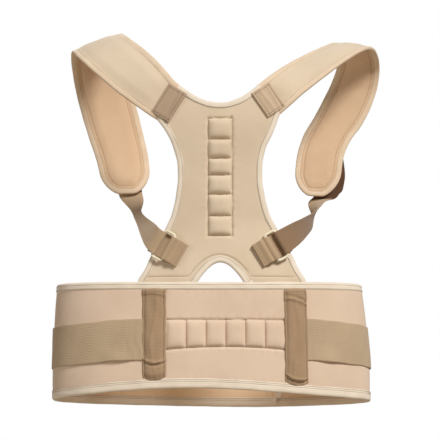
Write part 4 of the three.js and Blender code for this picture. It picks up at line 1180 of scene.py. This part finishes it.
def make_panel():
    """Back panel, tucked under the belt's top tape, with the tapes round its free edges."""
    shares_v = np.concatenate([spaced(0, 0.06, 0.0036), spaced(0.06, 1, 0.008), [1]])
    shares_u = np.concatenate([spaced(0, 0.2, 0.0115), spaced(0.2, 1, 0.026), [1]])
    right = half_rows(1, shares_u, shares_v)
    left = half_rows(-1, shares_u[1:], shares_v)[::-1].copy()
    left[..., 0] *= -1
    flat = np.concatenate([left, right])
    foot = flat[:, :1] - np.array([0, PANEL_TUCK])
    arch = (np.abs(flat[:, 0, 0]) < ARCH_HALF_WIDTH)[:, None, None]
    flat = np.concatenate([np.where(arch, flat[:, :1] - np.array([0, 0.05]), foot), flat], axis=1)
    x, z = flat[..., 0], BELT_TOP + flat[..., 1]
    grid = np.empty((*x.shape, 3))
    depth = np.vectorize(panel_y)
    grid[..., 0], grid[..., 1], grid[..., 2] = PANEL_SHIFT + x, depth(x, z), z
    rise = PANEL_THICKNESS / 2 + panel_soft(x, z) * PANEL_SOFTNESS + spine_relief(x, z)
    sink = PANEL_THICKNESS / 2 + folds_in(PANEL_INNER_FOLDS, x, z)
    piece = add_sheet("panel", grid, rise, sink, [FINISH["foam_fabric"]])
    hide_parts("back_panel")
    normals = grid_normals(grid)
    middle = len(shares_u) - 1
    corner = int(np.argmin(np.abs(shares_u - 0.5)))
    scoop = slice(middle - corner, middle + corner + 1)
    tapes = {
        "neck_binding": ((scoop, -1), (0, 0, 1), (-1.2, -1.2)),
        "arch_binding": ((scoop, 1), (0, 0, -1), (-3.0, -3.0)),
        "side_binding_left": ((0, slice(None)), (-1, 0, 0), (-0.5, -1.5)),
        "side_binding_right": ((-1, slice(None)), (1, 0, 0), (-0.5, -1.5)),
    }
    lines = []
    for name, (cut_rows, out, trims) in tapes.items():
        edge = grid[cut_rows]
        points, ups, outs = fold_tape(name, edge, normals[cut_rows], np.array(out, float), BINDING,
                                      BINDING_THICKNESS, lip=2.0, trims=trims)
        rail = points - outs * 0.4
        lift = BINDING_THICKNESS / 2 + 0.05
        lines.append((rail[1:-1] + ups[1:-1] * lift, ups[1:-1]))
        lines.append((rail[1:-1] - ups[1:-1] * lift, -ups[1:-1]))
    add_stitches("panel_edge_stitching", lines, pitch=3.2)
    add_stitches("spine_stitching", spine_lines(), pitch=2.6, radius=0.3)


def panel_line(xs, zs, off):
    xs, zs = np.asarray(xs, float), np.asarray(zs, float)
    points = np.array([panel_point(x, z) for x, z in zip(xs, zs)])
    normals = np.array([panel_normal(x, z) for x, z in zip(xs, zs)])
    lift = (PANEL_THICKNESS / 2 + panel_soft(xs, zs) * PANEL_SOFTNESS + spine_relief(xs, zs)
            + off)
    return points + normals * lift[:, None], normals


def spine_lines():
    half = SPINE_WIDTH / 2
    lines = []
    for z in SPINE_SEAMS:
        lines.append(panel_line(np.linspace(-half, half, 40), np.full(40, z), 0.25))
    for x, over in ((-half, 1.0), (half, 5.0)):
        zs = np.linspace(SPINE_SEAMS[-1] - 1.5, SPINE_SEAMS[0] + over, 160)
        lines.append(panel_line(np.full(160, x), zs, 0.25))
    lines.append(panel_line(HEM_LINE[:, 0], BELT_TOP + HEM_LINE[:, 1], 0.3))
    return lines


# Shoulder straps

# Rows along each strap, from the panel's seam over the shoulder to the round end in front:
# outer x, y, z and inner x, y, z as shares of the reach, the depth and the rise
STRAP_ROWS = {
    -1: [
        (-0.51, -0.86, 0.66, -0.33, -0.84, 0.81), (-0.67, -0.77, 0.73, -0.43, -0.7, 0.877),
        (-0.8, -0.6, 0.815, -0.525, -0.52, 0.93), (-0.91, -0.36, 0.886, -0.6, -0.28, 0.975),
        (-0.955, -0.08, 0.923, -0.64, 0, 1), (-0.97, 0.2, 0.91, -0.655, 0.26, 0.98),
        (-0.965, 0.41, 0.865, -0.63, 0.45, 0.92), (-0.945, 0.52, 0.79, -0.59, 0.54, 0.83),
        (-0.905, 0.56, 0.7, -0.545, 0.58, 0.725), (-0.86, 0.56, 0.61, -0.507, 0.58, 0.63),
        (-0.81, 0.53, 0.52, -0.473, 0.55, 0.54), (-0.765, 0.45, 0.393, -0.45, 0.47, 0.4),
    ],
    1: [
        (0.46, -0.86, 0.69, 0.33, -0.74, 0.81), (0.585, -0.83, 0.75, 0.455, -0.54, 0.86),
        (0.715, -0.7, 0.82, 0.585, -0.34, 0.91), (0.855, -0.46, 0.89, 0.68, -0.14, 0.945),
        (0.98, -0.12, 0.938, 0.74, 0.06, 0.965), (1.03, 0.16, 0.92, 0.765, 0.24, 0.945),
        (1.045, 0.36, 0.88, 0.765, 0.39, 0.89), (1.035, 0.46, 0.82, 0.73, 0.47, 0.825),
        (1, 0.5, 0.75, 0.675, 0.5, 0.755), (0.935, 0.5, 0.67, 0.61, 0.5, 0.68),
        (0.855, 0.47, 0.6, 0.545, 0.47, 0.61), (0.81, 0.43, 0.535, 0.505, 0.43, 0.535),
        (0.79, 0.38, 0.455, 0.49, 0.38, 0.455), (0.765, 0.34, 0.38, 0.485, 0.34, 0.385),
    ],
}


def strap_place(x, y, z):
    """Point from shares of the shoulders' reach, depth and rise."""
    return np.array([PANEL_SHIFT + x * SHOULDER_REACH, y * STRAP_DEPTH,
                     BELT_TOP + z * SHOULDER_RISE])


def strap_seam(side):
    ends = []
    for share in (0, 1):
        flat = seam_end(side, share)
        ends.append(panel_point(side * flat[0], BELT_TOP + flat[1]))
    middle = seam_end(side, 0.5)
    normal = panel_normal(side * middle[0], BELT_TOP + middle[1])
    across = unit(ends[1] - ends[0])
    away = unit(np.cross(across, normal))
    if away[0] * side < 0:
        away = -away
    return ends, across, away, normal


def strap_rails(side):
    ends, across, away, _ = strap_seam(side)
    rails = []
    for k, end, step in ((0, ends[0], -CUT), (3, ends[1], CUT)):
        start = end + across * step + away * GAP
        lead = start + away * PATCH_LENGTH * 0.6
        places = [strap_place(*row[k:k + 3]) for row in STRAP_ROWS[side]]
        rails.append(Rail([start, lead, *places]))
    return rails


SMOOTH_ROWS = 60
SMOOTH_ROUNDS = 260


def eased_start(line, stations):
    """The strap's edge leaves its seam in one easy curve."""
    hold = (1 - smoothstep((stations - 0.22) / 0.12))[:, None]
    eased = line.copy()
    for _ in range(SMOOTH_ROUNDS):
        even = eased.copy()
        even[1:-1] = evened(eased)
        eased = mix(eased, even, hold)
    return eased


def strap_grid(side, stations, shares):
    """Strap's middle surface; shares run across it from -X to +X."""
    outer, inner = strap_rails(side)
    a = np.array([outer.place(t) for t in stations])
    b = np.array([inner.place(t) for t in stations])
    if len(stations) > SMOOTH_ROWS:
        a, b = eased_start(a, stations), eased_start(b, stations)
    lengths = path_lengths((a + b) / 2)
    left = lengths[-1] - lengths
    round_end = np.maximum(0, 1 - left / STRAP_END_LENGTH)
    full = np.sqrt(1 - (0.93 * round_end) ** 2)
    inset = CUT / np.linalg.norm(a - b, axis=1)
    order = shares[::-1] if side < 0 else shares
    across = 0.5 + (mix(inset[:, None], 1 - inset[:, None], order[None, :]) - 0.5) * full[:, None]
    return mix(a[:, None], b[:, None], across[..., None]), lengths


COARSE_STATIONS = np.concatenate([0.93 * np.arange(18) / 17, [0.955, 0.972, 0.985, 0.994, 1]])
FINE_STATIONS = np.concatenate([
    np.linspace(0, 0.93, 150), 0.93 + 0.07 * np.sin(np.linspace(0, math.pi / 2, 30))[1:]])
PAD_CROWN = 2.2
PAD_EDGE_SWELL = 0.7
PAD_EDGE_REACH = 15
STRAP_TAPE_THICKNESS = 4.6
# Stitched channel inside the pad's edge, on the face next to the body
CHANNEL_INSET = 4.6
CHANNEL_WIDTH = 0.9
CHANNEL_DEPTH = 0.6
STRAP_FOLDS = ((0.5, 30, 17, 51),)
STRAP_SHALLOW_FOLDS = ((0.2, 9, 11, 52),)
STRAP_LINING_FOLDS = ((0.45, 22, 15, 61),)


def strap_fullness(grid, shares, lengths):
    """How far each face of the pad stands off its middle, and its stitched edge channels."""
    width = np.linalg.norm(grid[:, -1] - grid[:, 0], axis=1)[:, None]
    from_side = np.minimum(shares, 1 - shares)[None, :] * width
    from_end = (lengths[-1] - lengths)[:, None] + 0 * from_side
    from_edge = np.minimum(from_side, from_end + 1.0)
    thin, thick = STRAP_EDGE_THICKNESS + PAD_EDGE_SWELL, STRAP_THICKNESS + PAD_CROWN
    pad = mix(thin, thick, smoothstep(from_edge / PAD_EDGE_REACH)) / 2
    flat_start = smoothstep((lengths - 6) / 26)[:, None]
    pad = mix(PANEL_THICKNESS / 2, pad, flat_start)
    channel = groove(from_edge - CHANNEL_INSET, CHANNEL_WIDTH) * flat_start
    return pad, channel, from_edge, width


def make_strap(name, side):
    """Padded strap, from the panel's seam over the shoulder to its round end in front."""
    shares = np.concatenate([spaced(0, 0.16, 0.016), spaced(0.16, 0.84, 0.034),
                             np.linspace(0.84, 1, 11)])
    grid, lengths = strap_grid(side, FINE_STATIONS, shares)
    pad, channel, from_edge, width = strap_fullness(grid, shares, lengths)
    along = np.broadcast_to(lengths[:, None], pad.shape)
    across = (shares - 0.5)[None, :] * width
    folds = (folds_in(STRAP_FOLDS, along, across, side)
             + folds_in(STRAP_SHALLOW_FOLDS, along, across))
    bend_lines = 0.5 * np.sin(along / 6.5 + 0.5 * np.sin(across / 9)) * groove(
        along - 0.42 * lengths[-1], 55) * smoothstep(from_edge / 12)
    edge_gathers = gathers(along, 0.16, 1.6, 1.3, 14) * np.exp(-from_edge / 4)
    lining = folds_in(STRAP_LINING_FOLDS, along, across, side) + bend_lines + edge_gathers
    start = smoothstep(along / 20)
    rise = pad + (folds + 0.5 * edge_gathers) * start
    sink = pad + lining * start - CHANNEL_DEPTH * channel
    piece = add_sheet(f"strap_{name}", grid, rise, sink,
                      [FINISH["foam_fabric"], FINISH["strap_lining"]])
    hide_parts(f"shoulder_strap_{name}")
    normals = grid_normals(grid)
    bind_strap(name, grid, normals)
    lower = grid - normals * (sink + THREAD_LIFT)[..., None]
    seams = [channel_line(lower, -normals, from_edge, edge_side) for edge_side in (0, 1)]
    add_stitches(f"strap_stitching_{name}", seams, pitch=2.8, radius=0.3)


def bind_strap(name, grid, normals):
    """Tape round the strap's free edge, and its stitching on both faces."""
    edge = np.concatenate([grid[:, 0], grid[-1, 1:-1], grid[::-1, -1]])
    ups = np.concatenate([normals[:, 0], normals[-1, 1:-1], normals[::-1, -1]])
    points, ups, outs = fold_tape(f"strap_binding_{name}", edge, ups, grid[0, 0] - grid[0, 5],
                                  BINDING, STRAP_TAPE_THICKNESS, lip=2.0, trims=(-1.5, -1.5),
                                  finish="strap_tape")
    rail, ups = (points - outs * 0.5)[2:-2], ups[2:-2]
    lift = STRAP_TAPE_THICKNESS / 2 + 0.05
    lines = [(rail + ups * lift, ups), (rail - ups * lift, -ups)]
    add_stitches(f"strap_edge_stitching_{name}", lines, pitch=3.2, finish="pale_thread")


def channel_line(face, normals, from_edge, edge_side):
    """Line that follows the stitched channel inside one edge of a strap, down to its end."""
    half = from_edge.shape[1] // 2
    line, line_normals = [], []
    for i in range(8, len(face) - 12):
        row = from_edge[i, :half] if edge_side == 0 else from_edge[i, half:][::-1]
        k = np.interp(CHANNEL_INSET, row, np.arange(len(row)))
        j = int(k)
        w = k - j
        a, b = (j, min(j + 1, half - 1)) if edge_side == 0 else (-1 - j, -2 - j)
        line.append(mix(face[i, a], face[i, b], w))
        line_normals.append(normals[i, a])
    return np.array(line), np.array(line_normals)


PATCH_OVER = 1.5
PATCH_SEAM = 9.8
PATCH_FOLDS = ((0.45, 3.5, 5.5, 71),)


def make_patch(name, side):
    """Webbing patch over the seam between panel and strap."""
    ends, _, away, normal = strap_seam(side)
    long_shares, full_long = rim_shares(PATCH_LENGTH, 0.7, 1.2)
    wide = np.linalg.norm(ends[1] - ends[0])
    shares, full_wide = rim_shares(wide + 2 * PATCH_OVER, 0.7, 1.3)
    reach = mix(-PATCH_OVER / wide, 1 + PATCH_OVER / wide, shares)
    if side < 0:
        reach = reach[::-1]
    steps = (long_shares - 0.5) * (PATCH_LENGTH + 1)
    lift = PANEL_THICKNESS / 2 + 2 * GAP + 0.5
    base = mix(ends[0], ends[1], reach[:, None])
    grid = base[None] + away * steps[:, None, None] + normal * lift
    if side < 0:
        grid = grid[::-1]
        steps = steps[::-1]
    normals = grid_normals(grid)
    if (normals @ normal).mean() < 0:
        grid = grid[:, ::-1]
    edge_lift = 0.5 * (1 - np.abs(2 * shares - 1) ** 6)
    folds = folds_in(PATCH_FOLDS, steps[:, None], shares[None, :] * wide, side)
    slant = 2.0 * (2 * shares - 1)[None, :]
    ridge = ((1.1 - 0.5 * side) * groove(steps[:, None] - side * 7.5 - slant, 1.4)
             + 0.9 * groove(steps[:, None] + side * 1.5 + 0.5 * slant, 2.2))
    seam = 0.9 * groove(np.abs(steps[:, None]) - PATCH_SEAM, 0.9)
    rise = 1.5 + edge_lift[None, :] + folds + ridge - seam
    rise = rise * full_long[:, None] * full_wide[None, :] + 0.1
    # The right patch takes the paler copy of its webbing: painted light
    cloth = FINISH["patch_webbing" if side < 0 else "patch_webbing_painted_light"]
    piece = add_sheet(f"patch_{name}", grid, rise, 0.5, [cloth])
    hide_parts(f"shoulder_patch_{name}")
    normals = grid_normals(grid)
    surface = grid + normals * (rise + THREAD_LIFT)[..., None]
    lines = []
    for step in (-PATCH_SEAM, PATCH_SEAM):
        i = int(np.argmin(np.abs(steps - step)))
        lines.append((surface[i, 4:-4], normals[i, 4:-4]))
    for column in (6, -7):
        lines.append((surface[4:-4, column], normals[4:-4, column]))
    add_stitches(f"patch_stitching_{name}", lines, pitch=2.6, radius=0.4,
                 finish="dark_thread")


# Webbing, sliders and tabs

LAYER_LOW = BINDING_THICKNESS / 2 + 2 * GAP + WEBBING_THICKNESS / 2
WRAP_RADIUS = SLIDER_WIRE / 2 + GAP + WEBBING_THICKNESS / 2
BAR_LEVEL = LAYER_LOW + WRAP_RADIUS
LAYER_HIGH = BAR_LEVEL + WRAP_RADIUS
APPROACH = 11.0

# Webbing between the pad's end and the slider: its low edge and its high edge, x, y, z each
WEBBING_ROWS = {
    -1: [
        (-0.63, 0.47, 0.345, -0.495, 0.36, 0.345), (-0.585, 0.36, 0.314, -0.51, 0.1, 0.302),
        (-0.555, 0.1, 0.274, -0.5, -0.19, 0.268), (-0.525, -0.25, 0.222, -0.45, -0.47, 0.24),
        (-0.49, -0.58, 0.163, -0.385, -0.74, 0.206),
    ],
    1: [
        (0.57, 0.43, 0.345, 0.69, 0.3, 0.351), (0.595, 0.32, 0.289, 0.645, 0.04, 0.308),
        (0.615, 0.08, 0.243, 0.605, -0.2, 0.277), (0.585, -0.22, 0.203, 0.54, -0.45, 0.249),
        (0.535, -0.5, 0.163, 0.47, -0.66, 0.225),
    ],
}
# How far to +X of the pad's middle the sewn end lies, at the strap's last rows
SEWN_SHIFTS = {-1: (4, 4, 4, 4, 4, 4, 4), 1: (15, 20, 20, 19.5, 19, 18, 15, 12)}
# Rows past the sewn end on which the webbing's outer side is painted near-black: painted shadow of
# the pad's end
PAST_PAD = {-1: -8, 1: 4}
WEBBING_STATIONS = 150
WEBBING_NARROWEST = 24.0
EASE_ROUNDS = 180
EASE_EVERYWHERE = 40
WIDTH_ROUNDS = 40


def slider_seat(side):
    """Places at a slider: along it away from the panel's middle, across it, and off the panel."""
    tilt = math.radians(SLIDER_TILT)
    out = side * SLIDER_OUT * PANEL_HALF_WIDTH
    origin = panel_point(out, SLIDER_HEIGHT)
    up = panel_normal(out, SLIDER_HEIGHT)
    across = np.array([-side * math.cos(tilt), 0, math.sin(tilt)])
    across = unit(across - up * across.dot(up))
    along = np.cross(up, across)
    if along[0] * side > 0:
        along = -along
    return lambda e, w, h: origin + along * e + across * w + up * h


def bar_turn(bar, way, count=20):
    angles = math.pi * (np.arange(count + 1) / count - 0.5)
    return [(bar + way * WRAP_RADIUS * math.cos(a), BAR_LEVEL + WRAP_RADIUS * math.sin(a))
            for a in angles]


def tape_shares():
    return rim_shares(WEBBING_WIDTH, 0.7, 1.25)


def strip_from_middles(middles, acrosses):
    shares, _ = tape_shares()
    return middles[:, None] + acrosses[:, None] * ((shares - 0.5) * WEBBING_WIDTH)[None, :, None]


def sewn_end(side):
    """Middles of the webbing's sewn end on the pad's outer face, and the ways across it there."""
    coarse, _ = strap_grid(side, COARSE_STATIONS, np.array([0, 0.18, 0.5, 0.82, 1]))
    normals = grid_normals(coarse)
    last = len(COARSE_STATIONS) - 1
    lift = STRAP_THICKNESS / 2 + PAD_CROWN / 2 + GAP + WEBBING_THICKNESS / 2

    def on_strap(row, beyond, shift):
        across = unit(coarse[row, 0] - coarse[row, -1])
        across = -across if across[0] < 0 else across
        along = unit(coarse[row, 2] - coarse[row - 1, 2])
        point = coarse[row, 2] + normals[row, 2] * lift + along * beyond
        return point + across * shift, across

    shifts = SEWN_SHIFTS[side]
    sewn = [on_strap(last - len(shifts) + 2 + i, 0, shift) for i, shift in enumerate(shifts[:-1])]
    sewn.append(on_strap(last, BINDING + 2, shifts[-1]))
    return sewn


def webbing_rail(side, seat, sewn, sign):
    """Low edge of the webbing, for sign -1, or its high edge, from the pad to the slider."""
    first = 0 if sign < 0 else 3
    points = [point + across * sign * WEBBING_WIDTH / 2 for point, across in sewn]
    points += [strap_place(*row[first:first + 3]) for row in WEBBING_ROWS[side]]
    for beyond in (APPROACH, 1):
        points.append(seat(-SLIDER_SPACING / 2 - beyond, sign * WEBBING_WIDTH / 2, LAYER_HIGH))
    return Rail(points)


def webbing_strip(low, high):
    """Middle surface between the two edges, both eased, most of all near the slider."""
    stops = np.linspace(0, 1, WEBBING_STATIONS)
    a = np.array([low.place(t) for t in stops])
    b = np.array([high.place(t) for t in stops])
    near_slider = smoothstep((stops[1:-1] - 0.6) / 0.12)[:, None]
    for line in (a, b):
        for step in range(EASE_ROUNDS):
            hold = 1.0 if step < EASE_EVERYWHERE else near_slider
            line[1:-1] = mix(line[1:-1], evened(line), hold)
    widths = np.clip(np.linalg.norm(b - a, axis=1), WEBBING_NARROWEST, WEBBING_WIDTH)
    for _ in range(WIDTH_ROUNDS):
        widths[1:-1] = evened(widths)
    return strip_from_middles((a + b) / 2, unit(b - a) * (widths / WEBBING_WIDTH)[:, None])


def make_webbing(name, side, seat):
    """Webbing from its sewn end on the pad, turned on edge, to the slider and round its bar."""
    sewn = sewn_end(side)
    low, high = webbing_rail(side, seat, sewn, -1), webbing_rail(side, seat, sewn, 1)
    shares, full = tape_shares()
    bar = -SLIDER_SPACING / 2
    round_bar = [*reversed(bar_turn(bar, 1)), (bar - WEBBING_TAIL * 0.5, LAYER_LOW),
                 (bar - WEBBING_TAIL, LAYER_LOW)]
    seated = [[seat(e, (s - 0.5) * WEBBING_WIDTH, h) for s in shares] for e, h in round_bar]
    grid = np.concatenate([webbing_strip(low, high), np.array(seated)])
    lengths = path_lengths(grid.mean(axis=1))
    free = smoothstep((lengths - 30) / 20) * smoothstep((lengths[-1] - 40 - lengths) / 20)
    slack = (0.25 * np.sin(lengths / 7.0) * free)[:, None] * (2 * shares - 1)[None, :]
    grid = grid + grid_normals(grid) * slack[..., None]
    ribs = 0.05 * np.cos(2 * math.pi * shares * WEBBING_WIDTH / WEBBING_WEAVE["Rib Width mm"])
    thick = WEBBING_THICKNESS / 2 * full + np.where(full > 0.99, ribs, 0) + 0.04
    thick = np.repeat(thick[None, :], len(grid), 0)
    # The lower face takes the darker copy of the webbing: painted shade
    piece = add_sheet(f"webbing_strap_{name}", grid, thick, thick,
                      [FINISH["strap_webbing"], FINISH["webbing_reverse_painted_shade"]],
                      soft_angle=60)
    # Painted shadow: the sewn end's outer side, next to the pad, takes the near-black webbing
    piece.data.materials.append(FINISH["webbing_painted_shadow"])
    shadow_slot = len(piece.data.materials) - 1
    sewn_share = (len(sewn) - 1) / (len(low.points) - 1)
    sewn_rows = int(WEBBING_STATIONS * sewn_share) + PAST_PAD[side]
    for face in piece.data.polygons[:sewn_rows * (len(shares) - 1)]:
        face.material_index = shadow_slot
    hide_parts(f"webbing_{name}")


# Ridges of the tab's upper layer: how far past the bar, and how far down from its level
TAB_RIDGES = ((1.6, 0.35), (3.2, 1.5), (4.6, 2.1), (6.2, 1.0), (7.8, 0.5), (9.6, 1.1))
# Its slope down to its sewn end: share of the way there, and share of the way down
TAB_SLOPE = ((0.6, 0.42), (0.7, 0.6))


def make_tab(name, seat):
    """Tab: webbing folded round the slider's bar, its layers sewn together to the panel."""
    near = SLIDER_SPACING / 2
    far = near + TAB_LENGTH
    base = LAYER_LOW - WEBBING_THICKNESS - 0.12
    sewn = LAYER_LOW + WEBBING_THICKNESS + GAP
    stations = [(3 - near, base), (0, base), (near, base), (far - 3, base), (far - 0.8, base + 0.1),
                (far - 0.2, (base + LAYER_LOW) / 2), (far - 0.8, LAYER_LOW - 0.05),
                (far - 3, LAYER_LOW), (far - 6, LAYER_LOW), (near + 5, LAYER_LOW),
                *bar_turn(near, -1)]
    stations += [(near + past, LAYER_HIGH - down) for past, down in TAB_RIDGES]
    stations += [(mix(near, far, along), mix(LAYER_HIGH, LAYER_LOW, down))
                 for along, down in TAB_SLOPE]
    stations += [(mix(near, far, 0.82), sewn + 0.4 * GAP), (mix(near, far, 0.92), sewn), (far, sewn)]
    shares, full = tape_shares()
    grid = np.array([[seat(e, (s - 0.5) * WEBBING_WIDTH, h) for s in shares] for e, h in stations])
    thick = (WEBBING_THICKNESS / 2 * full)[None, :] + 0.04 + np.zeros((len(grid), 1))
    up = seat(0, 0, 1) - seat(0, 0, 0)
    if grid_normals(grid)[-1, 5] @ up < 0:
        grid = grid[:, ::-1]
    piece = add_sheet(f"tab_{name}", grid, thick, thick, [FINISH["strap_webbing"]],
                      soft_angle=60)
    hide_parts(f"anchor_tab_{name}")
    level = sewn + WEBBING_THICKNESS / 2 + 0.15
    half = WEBBING_WIDTH / 2 - 1.5
    lines = []
    for e in (far - 2.2, far - 5.0):
        line = np.array([seat(e, w, level) for w in np.linspace(-half, half, 20)])
        lines.append((line, np.tile(up, (20, 1))))
    add_stitches(f"tab_stitching_{name}", lines, pitch=2.2, radius=0.36,
                 finish="dark_thread")


SLIDER_SIDES = 12
WIRE_SQUARENESS = 0.8


def make_slider(name, seat):
    """Slider: one loop of moulded wire, with two bars and two rounded ends."""
    reach = WEBBING_WIDTH / 2 + SLIDER_SLACK + SLIDER_WIRE / 2
    corner = SLIDER_WIRE
    loop = []
    for sign_e, sign_w, start in ((1, 1, 0), (-1, 1, 90), (-1, -1, 180), (1, -1, 270)):
        for step in np.linspace(0, 90, 9):
            angle = math.radians(start + step)
            loop.append((sign_e * (SLIDER_SPACING / 2 - corner) + corner * math.cos(angle),
                         sign_w * (reach - corner) + corner * math.sin(angle), angle))
    rings = []
    for e, w, angle in loop:
        ring = []
        for k in range(SLIDER_SIDES):
            turn = 2 * math.pi * k / SLIDER_SIDES
            out = SLIDER_WIRE / 2 * squared_off(math.cos(turn), WIRE_SQUARENESS)
            up = SLIDER_WIRE / 2 * squared_off(math.sin(turn), WIRE_SQUARENESS)
            ring.append(seat(e + out * math.cos(angle), w + out * math.sin(angle), BAR_LEVEL + up))
        rings.append(ring)
    piece = add_sweep(f"slider_frame_{name}", np.array(rings), FINISH["moulded_plastic"],
                      closed=True, soft_angle=70)
    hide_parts(f"slider_{name}")


# Room, lights and camera

FLOOR_HEIGHT = -0.62
CAMERA_PLACE = (0.011, -3.176148, -0.232937)
CAMERA_TURN = (97.0, 0.0, 0.0)
LENS = 203.7
SENSOR = 36.0
FLOOR_REACH = 8
# Strength of the white that the camera sees, and of the warm fill that the object gets
WHITE = 1.0
FILL = 0.125
FILL_COLOUR = (1.0, 0.84, 0.68, 1.0)
LIGHT_AIM = (0, 0, 0.12)
# Each light's name, place, strength, softness in degrees and colour
LIGHTS = (
    ("key", (1.7, -2.4, 2.5), 3.4, 16, (1, 0.985, 0.965)),
    ("left_soft", (-3.0, -1.6, 0.7), 0.7, 30, (1, 1, 1)),
    ("front_soft", (-0.3, 1.8, 1.3), 1.3, 35, (1, 1, 1)),
)


def make_floor():
    """Pale floor, which sends less light to the object than it shows to the eye."""
    floor = bpy.data.meshes.new("floor")
    corners = [(x * FLOOR_REACH, y * FLOOR_REACH, FLOOR_HEIGHT)
               for x, y in ((-1, -1), (1, -1), (1, 1), (-1, 1))]
    floor.from_pydata(corners, [], [(0, 1, 2, 3)])
    plain = bpy.data.materials.new("pale_floor")
    plain.use_nodes = True
    tree = plain.node_tree
    shader = tree.nodes["Principled BSDF"]
    shader.inputs["Roughness"].default_value = 0.8
    spots = tree.nodes.new("ShaderNodeTexCoord").outputs["Object"]
    tone = noise_node(tree, spots, 3.0, 2.0)
    pale = mix_colour(tree, tone, linear(242, 241, 239), linear(236, 235, 233))
    rays = tree.nodes.new("ShaderNodeLightPath")
    tree.links.new(mix_colour(tree, rays.outputs["Is Camera Ray"], linear(166, 152, 134), pale),
                   shader.inputs["Base Color"])
    floor.materials.append(plain)
    piece = bpy.data.objects.new("floor", floor)
    bpy.context.scene.collection.objects.link(piece)


def make_world():
    """White surroundings, which give the object only a low warm fill."""
    world = bpy.data.worlds.new("studio")
    world.use_nodes = True
    tree = world.node_tree
    backdrop = tree.nodes["Background"]
    rays = tree.nodes.new("ShaderNodeLightPath")
    tree.links.new(mix_colour(tree, rays.outputs["Is Camera Ray"], FILL_COLOUR, (1, 1, 1, 1)),
                   backdrop.inputs["Color"])
    fill = math_node(tree, "MULTIPLY_ADD", rays.outputs["Is Camera Ray"], WHITE - FILL, FILL)
    tree.links.new(fill, backdrop.inputs["Strength"])
    bpy.context.scene.world = world


def add_sun(name, place, strength, softness, colour):
    """Broad even light from one side; softness is how wide it looks, in degrees."""
    lamp = bpy.data.lights.new(name, "SUN")
    lamp.energy = strength
    lamp.angle = math.radians(softness)
    lamp.color = colour
    holder = bpy.data.objects.new(name, lamp)
    holder.location = place
    aim = Vector(LIGHT_AIM) - Vector(place)
    holder.rotation_euler = aim.to_track_quat("-Z", "Y").to_euler()
    bpy.context.scene.collection.objects.link(holder)


def make_camera():
    lens = bpy.data.cameras.new("camera")
    lens.lens = LENS
    lens.sensor_width = SENSOR
    lens.clip_end = 50
    camera = bpy.data.objects.new("camera", lens)
    camera.location = CAMERA_PLACE
    camera.rotation_euler = tuple(math.radians(a) for a in CAMERA_TURN)
    bpy.context.scene.collection.objects.link(camera)
    bpy.context.scene.camera = camera


bpy.context.scene.view_settings.view_transform = "Standard"
make_camera()
make_floor()
make_world()
for light in LIGHTS:
    add_sun(*light)
make_belt()
stitch_belt()
for word, way in SIDES:
    make_stay(word, way)
    make_elastic(word, way)
make_panel()
for word, way in SIDES:
    make_strap(word, way)
    make_patch(word, way)
    seat_there = slider_seat(way)
    make_webbing(word, way, seat_there)
    make_tab(word, seat_there)
    make_slider(word, seat_there)
